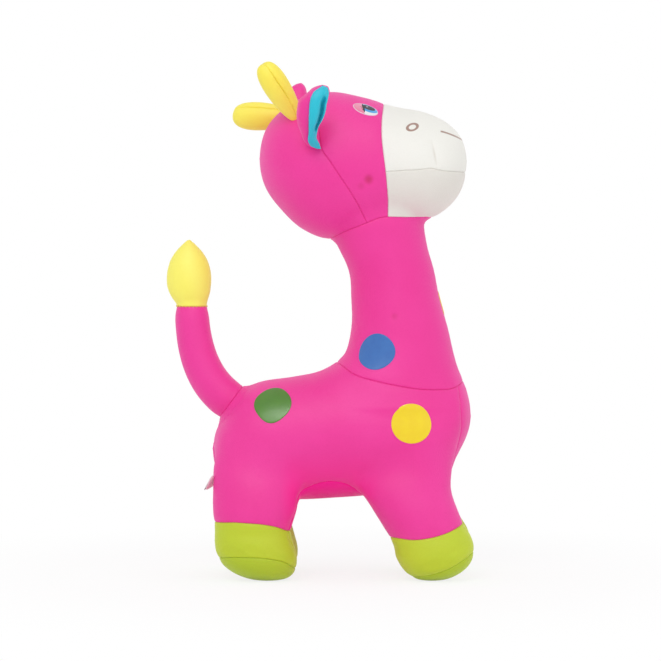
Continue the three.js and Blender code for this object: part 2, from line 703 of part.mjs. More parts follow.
// Legs, feet and soles
const floor = blockBeyond(new THREE.Vector3(), alongZ, 0);
for (const { name, x, side, sideName, form, ...seams } of legs) {
  const cover = form.solid(0, outside.limb).subtract(form.solid(-coverWall, inside.limb)).intersect(floor);
  const footSeam = (way) => seamSide(x, 0, seams.footSeamZ, way, seams.footSeamTilt);
  const soleSeam = (way) => seamSide(x, 0, seams.soleSeamZ, way, seams.soleSeamTilt);
  const leg = cover.subtract(torsoGrown).intersect(footSeam(alongZ));
  add(`${name}_leg_${sideName}`, largest(leg), pink);
  const foot = cover.intersect(footSeam(flip(alongZ)));
  add(`${name}_foot_${sideName}`, largest(foot.intersect(soleSeam(alongZ))), lime);
  add(`${name}_sole_${sideName}`, largest(foot.intersect(soleSeam(flip(alongZ)))), sole);
}

// One filling runs through torso, neck, head and legs.
const fillingGrow = -coverWall - sewnGap;
let filling = torsoForm
  .solid(fillingGrow, torsoRings.inside, inside.big)
  .add(neckForm.solid(fillingGrow, neckRings, inside.big))
  .add(headForm.solid(fillingGrow, headRings.inside, inside.big));
for (const { form } of legs) filling = filling.add(form.solid(fillingGrow, inside.limb));
add("filling", largest(filling.subtract(dimples)), fibre);

// Tail, horns and ears
add("tail", tailSolid(), pink);
add("tail_tuft", tuftSolid(), yellow);
for (const { side, name, hornWay, earLean } of sides) {
  add(`horn_${name}`, hornSolid(side, hornWay), yellow);
  const shell = earLayer(side, earLean, 0, earShell, { foot: 0, tip: 1 });
  add(`ear_shell_${name}`, shell.add(ball(earRoot(side), earRootDiameter)), pink);
  const liningDepth = earShell + sewnGap;
  add(`ear_lining_${name}`, earLayer(side, earLean, liningDepth, earLining, earLiningShares), blue);
}

// Eyes and spots
const torsoLayer = layerOver((grow) => torsoForm.solid(grow, torsoRings.outside, outside.big));
const headLayer = layerOver((grow) => headForm.solid(grow, headRings.outside, outside.big));
const neckLayer = layerOver((grow) => neckForm.solid(grow, neckRings, outside.big));
const spotAt = (x) => torsoForm.shareAtX(x);
for (const { side, name } of sides) {
  const eye = filmOn(
    headForm, headLayer, headForm.shareAtX(eyeX), onSide(side, eyeTurn), eyeLength, eyeWidth, eyeRoll,
  );
  add(`eye_${name}`, eye, print(0xdfe6ea));
  const hip = filmOn(
    torsoForm, torsoLayer, spotAt(hipSpotX), onSide(side, hipSpotTurn), spotDiameter, spotDiameter, 0,
  );
  add(`hip_spot_${name}`, hip, print(0x6a974e));
  const chest = filmOn(
    torsoForm, torsoLayer, spotAt(chestSpotX), onSide(side, chestSpotTurn),
    chestSpotDiameter, chestSpotDiameter, 0,
  );
  add(`chest_spot_${name}`, chest, print(0xf7dc30));
  const neck = filmOn(
    neckForm, neckLayer, neckForm.shareAtZ(neckSpotZ), onSide(side, neckSpotTurn),
    spotDiameter, spotDiameter, 0,
  );
  add(`neck_spot_${name}`, neck, print(0x346cb4));
}
const throat = filmOn(
  neckForm, neckLayer, neckForm.shareAtZ(throatSpotZ), onSide(1, throatSpotTurn),
  throatSpotDiameter, throatSpotDiameter, 0,
);
add("throat_spot", throat, print(0xf7dc30));
add("care_label", labelSolid(), print(0xd9a6b6));

export default toy;
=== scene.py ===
import math

import bpy
import numpy as np
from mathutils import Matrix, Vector


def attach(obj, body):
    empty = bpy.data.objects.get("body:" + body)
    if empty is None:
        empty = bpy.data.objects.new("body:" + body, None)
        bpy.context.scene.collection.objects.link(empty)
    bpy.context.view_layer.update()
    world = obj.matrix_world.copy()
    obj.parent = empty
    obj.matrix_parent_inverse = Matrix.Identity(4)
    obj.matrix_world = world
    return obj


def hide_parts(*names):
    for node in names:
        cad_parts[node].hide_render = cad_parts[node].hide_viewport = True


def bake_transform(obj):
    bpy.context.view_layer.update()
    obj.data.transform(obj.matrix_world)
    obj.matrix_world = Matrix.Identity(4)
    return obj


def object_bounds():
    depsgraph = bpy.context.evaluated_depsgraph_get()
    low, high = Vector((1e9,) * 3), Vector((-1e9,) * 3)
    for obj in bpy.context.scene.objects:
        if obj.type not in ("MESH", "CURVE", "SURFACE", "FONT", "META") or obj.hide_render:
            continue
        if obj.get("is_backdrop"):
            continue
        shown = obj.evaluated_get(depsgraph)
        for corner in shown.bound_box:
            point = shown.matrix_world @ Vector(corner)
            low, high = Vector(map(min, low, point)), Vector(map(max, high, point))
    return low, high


# A stuffed giraffe of stretch knit. It looks along +X, and its right side is -Y.
# Lengths below are millimetres. addPiece turns them into Blender's metres.
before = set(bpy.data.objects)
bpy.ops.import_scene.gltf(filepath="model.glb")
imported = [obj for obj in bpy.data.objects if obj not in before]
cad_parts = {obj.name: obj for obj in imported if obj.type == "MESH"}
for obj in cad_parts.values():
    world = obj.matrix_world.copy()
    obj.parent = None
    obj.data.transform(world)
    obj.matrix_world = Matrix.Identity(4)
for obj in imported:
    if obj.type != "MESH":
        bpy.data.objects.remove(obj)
cadLow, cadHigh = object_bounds()
scene = bpy.context.scene
bothSides = (("right", -1), ("left", 1))  # with their signs along Y

# Camera: a long lens, almost level, on the toy's right side
lens = {
    "aim": (7.4, 0.0, 165.6),
    "distance": 2000.0,
    "rise": 2.0,  # degrees above level
    "seen": 446.0,  # width of the picture at the toy
    "sensor": 36.0,
    "farthest": 20000.0,
}
cameraData = bpy.data.cameras.new("camera")
cameraData.sensor_width = lens["sensor"]
cameraData.lens = lens["sensor"] * lens["distance"] / lens["seen"]
cameraData.clip_end = lens["farthest"] / 1000
camera = bpy.data.objects.new("camera", cameraData)
rise = math.radians(lens["rise"])
backWay = Vector((0, -math.cos(rise), math.sin(rise)))
camera.location = (Vector(lens["aim"]) + backWay * lens["distance"]) / 1000
camera.rotation_euler = backWay.to_track_quat("Z", "Y").to_euler()
scene.collection.objects.link(camera)
scene.camera = camera
print("camera placed")


def hue(red, green, blue):  # a screen colour, 0 to 255, as Blender's linear one
    parts = [c / 255 for c in (red, green, blue)]
    return tuple(c / 12.92 if c <= 0.04045 else ((c + 0.055) / 1.055) ** 2.4 for c in parts)


class Wire:  # a socket that does sums
    def __init__(self, paint, socket):
        self.paint, self.socket = paint, socket

    def sum(self, operation, *values):
        return self.paint.node("ShaderNodeMath", {"operation": operation}, dict(enumerate(values)))

    def __add__(self, other):
        return self.sum("ADD", self, other)

    def __radd__(self, other):
        return self.sum("ADD", other, self)

    def __sub__(self, other):
        return self.sum("SUBTRACT", self, other)

    def __rsub__(self, other):
        return self.sum("SUBTRACT", other, self)

    def __mul__(self, other):
        return self.sum("MULTIPLY", self, other)

    def __rmul__(self, other):
        return self.sum("MULTIPLY", other, self)

    def __truediv__(self, other):
        return self.sum("DIVIDE", self, other)

    def __rtruediv__(self, other):
        return self.sum("DIVIDE", other, self)

    def __pow__(self, other):
        return self.sum("POWER", self, other)

    def __lt__(self, other):
        return self.sum("LESS_THAN", self, other)

    def sine(self):
        return self.sum("SINE", self)

    def size(self):
        return self.sum("ABSOLUTE", self)

    def least(self, other):
        return self.sum("MINIMUM", self, other)

    def most(self, other):
        return self.sum("MAXIMUM", self, other)

    def held(self):  # kept from 0 to 1
        return self.least(1.0).most(0.0)


class Paint:  # one material, or the world, and its nodes
    def __init__(self, name, world=None):
        self.material = world or bpy.data.materials.new(name)
        self.material.use_nodes = True
        self.tree = self.material.node_tree
        self.shader = self.tree.nodes["Background" if world else "Principled BSDF"]

    def plug(self, socket, value):
        if isinstance(value, Wire):
            self.tree.links.new(value.socket, socket)
        elif isinstance(value, tuple) and len(value) == 3 and socket.type == "RGBA":
            socket.default_value = (*value, 1)
        else:
            socket.default_value = value

    def node(self, kind, settings, inputs, output=0):
        made = self.tree.nodes.new(kind)
        for key, value in settings.items():
            setattr(made, key, value)
        for key, value in inputs.items():
            self.plug(made.inputs[key], value)
        return Wire(self, made.outputs[output])

    def mix(self, factor, a, b):
        settings = {"data_type": "RGBA"}
        return self.node("ShaderNodeMix", settings, {0: factor, 6: a, 7: b}, 2)

    def place(self):  # the three object coordinates, in millimetres
        where = self.node("ShaderNodeTexCoord", {}, {}, "Object")
        return where, [
            self.node("ShaderNodeSeparateXYZ", {}, {0: where}, i) * 1000.0 for i in range(3)
        ]

    def noise(self, where, scale, detail=2.0):
        inputs = {"Vector": where, "Scale": scale, "Detail": detail}
        return self.node("ShaderNodeTexNoise", {}, inputs)

    def bump(self, height, strength, distance=0.001):
        inputs = {"Height": height, "Distance": distance, "Strength": strength}
        return self.node("ShaderNodeBump", {}, inputs)

    def finish(self, inputs):
        for key, value in inputs.items():
            self.plug(self.shader.inputs[key], value)
        return self.material


# Stretch knit: loops run through it as a fine lattice, with a soft sheen
knitLook = {
    "loop": 0.62,  # width of one loop
    "loopDepth": 0.035,
    "loopShade": 0.10,  # how much painted shade, in the deep colour, lies between the loops
    "slack": 28.8,  # size of the soft unevenness of the filling
    "slackDepth": 0.10,
    "grain": 900.0,  # scale of the fibres
    "grainDepth": 0.02,
    "grainShade": 0.5,
    "cloud": 22.0,  # scale of the patches that lie in more light
    "cloudLevel": 0.35,
    "cloudEdge": 2.2,
    "bump": 0.55,
    "roughness": 0.5,
    "uneven": 0.12,  # how much the roughness varies
    "sheen": 0.55,
    "sheenRoughness": 0.45,
    "specular": 0.5,
}
knitColours = {  # base, lit, deep (painted shade between the loops, and darker fibres) and sheen, as screen colours from 0 to 255
    "pinkKnit": ((237, 38, 150), (242, 52, 160), (216, 18, 123), (255, 150, 210)),
    # painted shade: the gusset's deeper pink between the legs
    "gussetShadeKnit": ((252, 26, 154), (254, 34, 160), (236, 12, 130), (255, 120, 190)),
    "muzzleKnit": ((236, 235, 229), (240, 239, 233), (224, 219, 211), (255, 252, 246)),
    # the chin's white is darker than the muzzle's: painted shade under the head
    "shadedChinKnit": ((225, 222, 215), (230, 227, 220), (212, 205, 197), (250, 242, 236)),
    "limeKnit": ((187, 205, 27), (196, 212, 38), (166, 182, 16), (232, 244, 140)),
    "soleKnit": ((175, 197, 24), (183, 203, 33), (154, 174, 16), (228, 240, 130)),
    "yellowKnit": ((250, 240, 96), (252, 245, 116), (244, 224, 66), (255, 246, 150)),
    "hornKnit": ((250, 234, 78), (252, 240, 98), (244, 220, 56), (255, 244, 130)),
    "cyanKnit": ((4, 188, 211), (12, 196, 217), (2, 158, 188), (120, 230, 246)),
}


def knitPaint(name, prints=None, gloss=1.0):
    base, lit, deep, sheenTint = (hue(*colour) for colour in knitColours[name])
    paint = Paint(name)
    where, (x, y, z) = paint.place()
    turn = 2 * math.pi / knitLook["loop"]
    waves = [(axis * turn).sine() for axis in (x, y, z)]
    loops = waves[0] * waves[1] + waves[1] * waves[2] + waves[2] * waves[0]
    slack = paint.noise(where, 1000 / knitLook["slack"], 3.0)
    cloud = paint.noise(where, knitLook["cloud"])
    grain = paint.noise(where, knitLook["grain"])
    lighter = (cloud - knitLook["cloudLevel"]) * knitLook["cloudEdge"]
    colour = paint.mix(lighter.held(), base, lit)
    # Painted shade in the hollows between the loops, with the fibres' own darker tone
    deeper = loops * -knitLook["loopShade"] + (grain - 0.5) * knitLook["grainShade"]
    colour = paint.mix(deeper.held(), colour, deep)
    if prints:
        colour = prints(paint, colour, x, y, z)
    height = loops * knitLook["loopDepth"] + slack * knitLook["slackDepth"]
    height = height + grain * knitLook["grainDepth"]
    return paint.finish(
        {
            "Base Color": colour,
            "Roughness": knitLook["roughness"] + (grain - 0.5) * knitLook["uneven"],
            "Normal": paint.bump(height, knitLook["bump"]),
            "Sheen Weight": knitLook["sheen"] * gloss,
            "Sheen Roughness": knitLook["sheenRoughness"],
            "Sheen Tint": (*sheenTint, 1),
            "Specular IOR Level": knitLook["specular"] * gloss,
        }
    )


# Prints on the muzzle: a ring on each side and one mouth line round the front, with painted shade in a
# crease
nostril = {
    "x": 61.7,
    "z": 301.6,
    "long": 3.5,
    "tall": 2.15,
    "tilt": math.radians(18),
    "line": 1.5,
    "stretch": 1.25,  # of the line, from its tall side towards its long one
    "edge": 0.35,  # how soft the print's edge is
    "aside": (10.0, 2.0),  # from the middle of the muzzle it fades in here, over this width
}
mouth = {
    "corner": 80.6,
    "reach": 16.4,
    "top": 298.9,
    "drop": 5.6,
    "curve": 1.25,
    "line": 1.15,
    "edge": 0.3,
    "cornerEdge": 0.6,
}
dart = {  # painted shade in a crease above the chin's seam
    "x": 77.6,
    "lean": 3.0,
    "low": 275.0,
    "tall": 17.0,
    "line": 1.1,
    "ends": 1.8,  # how soon it fades up and down
    "strength": 0.6,
    "colour": hue(206, 199, 188),
}
printBrown = hue(150, 110, 95)
printStrength = 0.92


def facePrints(paint, colour, x, y, z):
    turn = math.cos(nostril["tilt"]), math.sin(nostril["tilt"])
    u, v = x - nostril["x"], z - nostril["z"]
    along, across = u * turn[0] + v * turn[1], v * turn[0] - u * turn[1]
    round2 = (along / nostril["long"]) ** 2.0 + (across / nostril["tall"]) ** 2.0
    ring = (round2**0.5 - 1.0).size() * nostril["tall"] * nostril["stretch"]
    ringMask = ((nostril["line"] / 2 - ring) / nostril["edge"] + 0.5).held()
    ringMask = ringMask * ((y.size() - nostril["aside"][0]) / nostril["aside"][1]).held()
    share = ((x - mouth["corner"]) / mouth["reach"]).held()
    line = (z - mouth["top"] + share ** mouth["curve"] * mouth["drop"]).size()
    lineMask = ((mouth["line"] / 2 - line) / mouth["edge"] + 0.5).held()
    lineMask = lineMask * ((x - mouth["corner"]) / mouth["cornerEdge"] + 0.5).held()
    height = (z - dart["low"]) / dart["tall"]
    away = (x - dart["x"] + height.held() * dart["lean"]).size() / dart["line"]
    crease = (1.0 - away).held() * (1.0 - (height - 0.5).size() * dart["ends"]).held()
    # Painted shade along the crease
    colour = paint.mix(crease * dart["strength"], colour, dart["colour"])
    return paint.mix(ringMask.most(lineMask) * printStrength, colour, printBrown)


# Threads pull the cover into dimples on its right side, with painted shade in them: place in side view,
# radius and strength
pulls = [(32.6, 266.7, 3.2, 1.0), (27.6, 262.4, 2.6, 0.35), (49.8, 175.9, 2.6, 0.35)]
pullShade = hue(208, 18, 108)
belly = {  # painted shade: a darker, deeper pink under the belly; each limit has the width over which it fades in
    "rear": (-26.0, 8.0),
    "front": (40.0, 16.0),
    "low": (30.0, 4.0),
    "high": (86.0, 26.0),
    "colour": hue(250, 16, 150),
    "rump": hue(238, 56, 157),  # the gusset beyond the legs
}


def between(x):  # 1 between the legs
    (rear, rearFade), (front, frontFade) = belly["rear"], belly["front"]
    return ((x - rear) / rearFade).held() * ((front - x) / frontFade).held()


def dimpleAndBellyShade(paint, colour, x, y, z):
    # Painted shade in each dimple, on the right side only
    for pullX, pullZ, radius, strength in pulls:
        away = ((x - pullX) ** 2.0 + (z - pullZ) ** 2.0) / radius**2
        dimpleShade = (1.0 - away * 0.5).held() ** 2.0 * strength * (y < 0.0)
        colour = paint.mix(dimpleShade, colour, pullShade)
    # Painted shade under the belly, between the legs
    (low, lowFade), (high, highFade) = belly["low"], belly["high"]
    under = ((high - z) / highFade).held() * ((z - low) / lowFade).held()
    return paint.mix(under * between(x), colour, belly["colour"])


# Painted shade between the legs; beyond them the gusset has the rump's pink
def gussetShadeTone(paint, colour, x, y, z):
    return paint.mix(between(x), belly["rump"], colour)


pinkKnit = knitPaint("pinkKnit", dimpleAndBellyShade)
gussetShadeKnit = knitPaint("gussetShadeKnit", gussetShadeTone, gloss=0.3)
muzzleKnit = knitPaint("muzzleKnit", facePrints)
shadedChinKnit = knitPaint("shadedChinKnit")
limeKnit = knitPaint("limeKnit")
soleKnit = knitPaint("soleKnit")
yellowKnit = knitPaint("yellowKnit")
hornKnit = knitPaint("hornKnit")
cyanKnit = knitPaint("cyanKnit")
print("knits dyed")


def smoothTable(rows):  # an even Catmull-Rom run through rows of numbers
    knots = np.array(rows, float).reshape(len(rows), -1)
    knots = np.vstack([2 * knots[0] - knots[1], knots, 2 * knots[-1] - knots[-2]])

    def at(t):
        steps = np.clip(np.asarray(t, float), 0, 1) * (len(knots) - 3)
        first = np.clip(np.floor(steps).astype(int), 0, len(knots) - 4)
        u = (steps - first)[..., None]
        a, b, c, d = (knots[first + j] for j in range(4))
        return b + u / 2 * ((c - a) + u * ((2 * a - 5 * b + 4 * c - d) + u * (3 * (b - c) + d - a)))

    return at


def smoothLine(pairs):  # a smooth line y(x) through measured points, flat beyond its ends
    xs, ys = np.array(pairs, float).T
    slopes = np.gradient(ys, xs)

    def at(x):
        x = np.clip(x, xs[0], xs[-1])
        i = np.clip(np.searchsorted(xs, x, "right") - 1, 0, len(xs) - 2)
        gap = xs[i + 1] - xs[i]
        u = (x - xs[i]) / gap
        rest = 1 - u
        ends = ys[i] * rest * rest * (1 + 2 * u) + ys[i + 1] * u * u * (1 + 2 * rest)
        return ends + gap * u * rest * (slopes[i] * rest - slopes[i + 1] * u)

    return at


# The stuffed forms. Their side view is measured on the photograph, and their widths are guessed.
torso = {
    "rear": -72.0,
    "length": 174.0,
    "low": 51.2,
    "height": 92.0,
    "width": 84.0,
    "table": smoothTable(  # low edge, high edge and width as shares, rear to front
        [
            (0.375, 0.375, 0),
            (0.135, 0.615, 0.56),
            (0.03, 0.84, 0.87),
            (0.004, 0.905, 0.98),
            (0.02, 0.955, 1.0),
            (0.05, 0.945, 0.99),
            (0.08, 0.9, 0.91),
            (0.38, 0.84, 0.6),
            (0.62, 0.62, 0),
        ]
    ),
}
neck = {
    "low": 115.2,
    "high": 259.2,
    "root": 53.0,
    "lean": 16.0,
    "depth": 83.0,
    "width": 70.0,
    "table": smoothTable(  # place backward, depth and width as shares, low to high
        [
            (0.06, 1.0, 1.0),
            (0.12, 1.05, 0.97),
            (-0.06, 0.88, 0.88),
            (-0.05, 0.783, 0.81),
            (0.12, 0.723, 0.77),
            (0.275, 0.7, 0.75),
            (0.68, 0.737, 0.76),
            (1.06, 0.82, 0.8),
            (1.2, 0.86, 0.8),
        ]
    ),
}
head = {
    "rear": -40.3,
    "length": 139.3,
    "low": 227.2,
    "height": 99.0,
    "width": 87.0,
    "table": smoothTable(  # as the torso's
        [
            (0.54, 0.54, 0),
            (0.364, 0.727, 0.4),
            (0.215, 0.86, 0.72),
            (0.07, 0.96, 0.93),
            (0.0, 1.0, 1.0),
            (0.05, 0.963, 0.97),
            (0.125, 0.9, 0.93),
            (0.125, 0.862, 0.9),
            (0.21, 0.79, 0.77),
            (0.34, 0.68, 0.46),
            (0.525, 0.525, 0),
        ]
    ),
}
legSize = {"hip": 97.2, "width": 41.0, "spread": 28.0, "pressed": 0.5}
hindLeg = {
    "x": -43.0,
    "depth": 59.0,
    "rows": [  # height, place forward, depth, width and place outward, as shares
        (1.0, 0.03, 0.72, 0.6, 0.62),
        (0.794, 0.0, 0.93, 0.84, 0.76),
        (0.64, 0.01, 0.975, 0.96, 0.88),
        (0.486, -0.002, 0.95, 0.98, 0.97),
        (0.383, -0.018, 0.88, 0.95, 1.0),
        (0.336, -0.023, 0.865, 0.93, 1.0),
        (0.27, -0.012, 0.89, 0.98, 1.0),
        (0.177, 0.025, 0.9, 1.0, 1.0),
        (0.1, 0.065, 0.81, 0.9, 1.0),
        (0.04, 0.115, 0.6, 0.64, 1.0),
        (0.01, 0.14, 0.34, 0.36, 1.0),
    ],
}
foreLeg = {
    "x": 62.3,
    "depth": 59.4,
    "rows": [
        (1.0, 0.0, 0.72, 0.6, 0.62),
        (0.794, -0.02, 0.92, 0.84, 0.76),
        (0.619, -0.065, 1.0, 0.96, 0.88),
        (0.486, 0.03, 0.95, 0.98, 0.97),
        (0.383, 0.12, 0.92, 0.95, 1.0),
        (0.311, 0.19, 0.92, 0.93, 1.0),
        (0.239, 0.235, 0.9, 0.98, 1.0),
        (0.167, 0.243, 0.867, 1.0, 1.0),
        (0.1, 0.243, 0.75, 0.9, 1.0),
        (0.04, 0.226, 0.53, 0.64, 1.0),
        (0.01, 0.213, 0.3, 0.36, 1.0),
    ],
}
for leg in (hindLeg, foreLeg):  # squares of the sizes make the sole round
    rows = sorted(leg["rows"])
    rows = [(0.0, rows[0][1], 0.0, 0.0, rows[0][4])] + rows
    at = [legSize["hip"] * row[0] - legSize["pressed"] for row in rows]
    for key, column, power in (("fore", 1, 1), ("deep2", 2, 2), ("wide2", 3, 2), ("out", 4, 1)):
        leg[key] = smoothLine([(z, row[column] ** power) for z, row in zip(at, rows)])


# Each form is a field over all space: 0 on its surface, below 0 inside
thinnest = 0.05  # half size that an oval keeps where its form ends
endGap = 0.02  # how far inside its own end a form is measured


def oval(u, v, halfU, halfV):  # about how far a point lies outside an oval
    halfU, halfV = np.maximum(halfU, thinnest), np.maximum(halfV, thinnest)
    return (np.hypot(u / halfU, v / halfV) - 1) * np.sqrt(halfU * halfV)


def joined(a, b, reach):  # the lower of two fields, with a fillet
    near = np.clip(1 - np.abs(a - b) / reach, 0, 1)
    return np.minimum(a, b) - near * near * reach / 4


fillets = {"neck": 15.0, "leg": 10.0, "head": 5.0, "floor": 2.0, "tail": 7.0, "tuft": 1.5}
tail = {
    "root": (-62.1, 119.4),  # in side view
    "seam": (-60.6, 116.8),  # where it is sewn on
    "rise": math.radians(36.9),
    "steps": 25,
    "reach": 24.0,
    "tall": 62.6,
    "thick": 23.2,
    "rootThick": 26.4,
    "taper": 48.0,  # height over which it thins
    "tucked": (1.0, 6.0),  # how much the tuft's seam draws it in, and how far that reaches
    "buried": 16.0,  # how far its path goes on into the rump
    "rough": 11.4,  # half its thickness in the rough shell
    "ahead": (-38.0, 87.0),  # it lies behind and above this place in side view
    "ground": 16.5,  # radius of its ground on the rump
    "bend": 20.0,  # a length along the tail from its root seam
}
tuft = {
    "length": 46.6,
    "depth": 30.6,
    "width": 27.0,
    "swept": 1.9,  # how far back it stands of the tail's end
    "sweep": (3.5, 0.7),  # how soon it does so, and how evenly
    "tip": 8,  # how blunt its tip is
    "bulge": smoothTable([0.6, 0.86, 0.98, 1.0, 0.94, 0.79, 0.52, 0.1]),
}
tailRoot = np.array(tail["root"])
tailEnd = tailRoot + (-tail["reach"], tail["tall"])
tailBend = np.array([tailEnd[0], tailRoot[1] + tail["reach"] * math.tan(tail["rise"])])
tailWay = np.array([-math.cos(tail["rise"]), math.sin(tail["rise"])])
bends = np.linspace(0, 1, tail["steps"])[:, None]
tailPath = (1 - bends) ** 2 * tailRoot + 2 * bends * (1 - bends) * tailBend + bends**2 * tailEnd
buried = [tailRoot - tail["buried"] * share * tailWay for share in (1, 0.5)]
tailPath = np.vstack([*buried, tailPath])


def tailForm(points):
    x, y, z = points.T
    flat = points[:, [0, 2]]
    away = np.full(len(points), np.inf)
    high = np.zeros(len(points))
    for a, b in zip(tailPath, tailPath[1:]):
        along = np.clip(((flat - a) @ (b - a)) / ((b - a) @ (b - a)), 0, 1)
        here = np.hypot(np.linalg.norm(flat - a - along[:, None] * (b - a), axis=1), y)
        high = np.where(here < away, a[1] + along * (b - a)[1], high)
        away = np.minimum(away, here)
    share = np.clip((high - tailRoot[1]) / tail["taper"], 0, 1)
    tube = away - (tail["rootThick"] * (1 - share) + tail["thick"] * share) / 2
    tucked, reach = tail["tucked"]
    tube += tucked * np.exp(-(((z - tailEnd[1]) / reach) ** 2))
    t = np.clip((z - tailEnd[1]) / tuft["length"], 0, 0.999)
    halves = tuft["bulge"](t)[:, 0] * np.sqrt(1 - t ** tuft["tip"])
    soon, evenly = tuft["sweep"]
    swept = tuft["swept"] * np.clip(t * soon, 0, 1) ** evenly
    flame = oval(x - tailEnd[0] + swept, y, tuft["depth"] * halves / 2, tuft["width"] * halves / 2)
    flame += np.abs(z - tailEnd[1] - t * tuft["length"])
    return joined(tube, flame, fillets["tuft"])


# Sections of the forms: where the middle lies, and the two half sizes
def lyingSection(form, t):
    low, high, wide = form["table"](t).T
    middle = form["low"] + form["height"] * (low + high) / 2
    return middle, form["width"] * wide / 2, form["height"] * (high - low) / 2


def neckSection(share):
    back, deep, wide = neck["table"](share).T
    middle = neck["root"] - neck["lean"] * back
    return middle, neck["depth"] * deep / 2, neck["width"] * wide / 2


def legSection(leg, side, z):
    halfX = leg["depth"] * np.sqrt(np.maximum(leg["deep2"](z), 0)) / 2
    halfY = legSize["width"] * np.sqrt(np.maximum(leg["wide2"](z), 0)) / 2
    middleX = leg["x"] + leg["depth"] * leg["fore"](z)
    return middleX, side * legSize["spread"] * leg["out"](z), halfX, halfY


def lyingForm(points, form):
    x, y, z = points.T
    inside = np.clip(x, form["rear"] + endGap, form["rear"] + form["length"] - endGap)
    t = np.arccos(1 - 2 * (inside - form["rear"]) / form["length"]) / np.pi
    middle, halfY, halfZ = lyingSection(form, t)
    return oval(y, z - middle, halfY, halfZ) + np.abs(x - inside)


def neckForm(points):
    x, y, z = points.T
    inside = np.clip(z, neck["low"], neck["high"])
    middle, halfX, halfY = neckSection((inside - neck["low"]) / (neck["high"] - neck["low"]))
    return oval(x - middle, y, halfX, halfY) + np.abs(z - inside)


def legForm(points, leg, side):
    x, y, z = points.T
    inside = np.clip(z, -legSize["pressed"], legSize["hip"])
    middleX, middleY, halfX, halfY = legSection(leg, side, inside)
    return oval(x - middleX, y - middleY, halfX, halfY) + np.abs(z - inside)


def toyForm(points, tailed=True):  # 0 on the stuffed skin, below 0 inside
    field = joined(lyingForm(points, torso), neckForm(points), fillets["neck"])
    for leg in (hindLeg, foreLeg):
        for side in (-1, 1):
            field = joined(field, legForm(points, leg, side), fillets["leg"])
    field = joined(field, lyingForm(points, head), fillets["head"])
    behind = (points[:, 0] < tail["ahead"][0]) & (points[:, 2] > tail["ahead"][1])
    if tailed and behind.any():
        field[behind] = joined(field[behind], tailForm(points[behind]), fillets["tail"])
    return -joined(-field, points[:, 2], fillets["floor"])


def slopeOf(points, field, step=0.05):
    parts = [(field(points + way) - field(points - way)) / (2 * step) for way in np.eye(3) * step]
    return np.stack(parts, axis=1)


def settle(points, field, rounds=2, longest=3, flattest=0.05):  # moves points onto the surface
    for _ in range(rounds):
        slope = slopeOf(points, field)
        move = field(points) / np.maximum((slope * slope).sum(1), flattest)
        points = points - np.clip(move, -longest, longest)[:, None] * slope
    return points


def unit(vectors):
    return vectors / np.maximum(np.linalg.norm(vectors, axis=-1, keepdims=True), 1e-9)


def ovalRing(middle, halfA, halfB, sides):
    turns = np.linspace(0, 2 * np.pi, sides, endpoint=False)[:, None]
    return np.array(middle) + np.cos(turns) * np.array(halfA) + np.sin(turns) * np.array(halfB)


# Rough rings that the fine skin starts from: rows and sides of each form
rough = {
    "neck": (14, 48),
    "lying": (26, 56),
    "leg": (24, 40),
    "tuft": (20, 32),
    "tailSides": 32,
    "end": 0.03,  # how far a round end's ring lies from it, as a share
    "sole": 0.2,  # height of a leg's lowest ring
}


def neckRings():
    rows, sides = rough["neck"]
    for t in np.linspace(0, 1, rows):
        x, halfX, halfY = neckSection(t)
        z = neck["low"] + t * (neck["high"] - neck["low"])
        yield ovalRing((x, 0, z), (halfX, 0, 0), (0, halfY, 0), sides)


def lyingRings(form):
    rows, sides = rough["lying"]
    for t in np.linspace(rough["end"], 1 - rough["end"], rows):
        z, halfY, halfZ = lyingSection(form, t)
        x = form["rear"] + form["length"] * (1 - math.cos(math.pi * t)) / 2
        yield ovalRing((x, 0, z), (0, halfY, 0), (0, 0, halfZ), sides)


def legRings(leg, side):
    rows, sides = rough["leg"]
    for z in np.linspace(rough["sole"], legSize["hip"], rows):
        x, y, halfX, halfY = legSection(leg, side, z)
        yield ovalRing((x, y, z), (halfX, 0, 0), (0, halfY, 0), sides)


def tailRings():
    half = tail["rough"]
    for i in range(1, len(tailPath)):
        way = unit(tailPath[min(i + 1, len(tailPath) - 1)] - tailPath[i - 1])
        middle = (tailPath[i][0], 0, tailPath[i][1])
        yield ovalRing(middle, (0, half, 0), (half * way[1], 0, -half * way[0]), rough["tailSides"])


def tuftRings():
    rows, sides = rough["tuft"]
    for t in np.linspace(0, 1 - rough["end"], rows):
        half = tuft["bulge"](t)[0] / 2
        middle = (tailEnd[0], 0, tailEnd[1] + t * tuft["length"])
        yield ovalRing(middle, (tuft["depth"] * half, 0, 0), (0, tuft["width"] * half, 0), sides)


def closedTube(rings, start):  # faces begin at the point numbered start
    sides = len(rings[0])
    faces = []
    for row in range(len(rings) - 1):
        for i in range(sides):
            j = (i + 1) % sides
            a, b = start + row * sides, start + (row + 1) * sides
            faces.append((a + i, a + j, b + j, b + i))
    faces.append(tuple(start + i for i in range(sides))[::-1])
    faces.append(tuple(start + (len(rings) - 1) * sides + i for i in range(sides)))
    return np.vstack(rings), faces


def voxelSkin(shells, voxel):  # one even skin over overlapping closed shells
    mesh = bpy.data.meshes.new("rough")
    points, faces = [], []
    for rings in shells:
        more, moreFaces = closedTube(rings, sum(map(len, points)))
        points.append(more)
        faces += moreFaces
    mesh.from_pydata((np.vstack(points) / 1000).tolist(), [], faces)
    lump = bpy.data.objects.new("rough", mesh)
    scene.collection.objects.link(lump)
    remesh = lump.modifiers.new("voxels", "REMESH")
    remesh.mode = "VOXEL"
    remesh.voxel_size = voxel / 1000
    even = lump.evaluated_get(bpy.context.evaluated_depsgraph_get()).to_mesh()
    even.calc_loop_triangles()
    corners = np.zeros(len(even.vertices) * 3)
    even.vertices.foreach_get("co", corners)
    triangles = np.zeros(len(even.loop_triangles) * 3, int)
    even.loop_triangles.foreach_get("vertices", triangles)
    bpy.data.objects.remove(lump)
    return corners.reshape(-1, 3) * 1000, triangles.reshape(-1, 3)


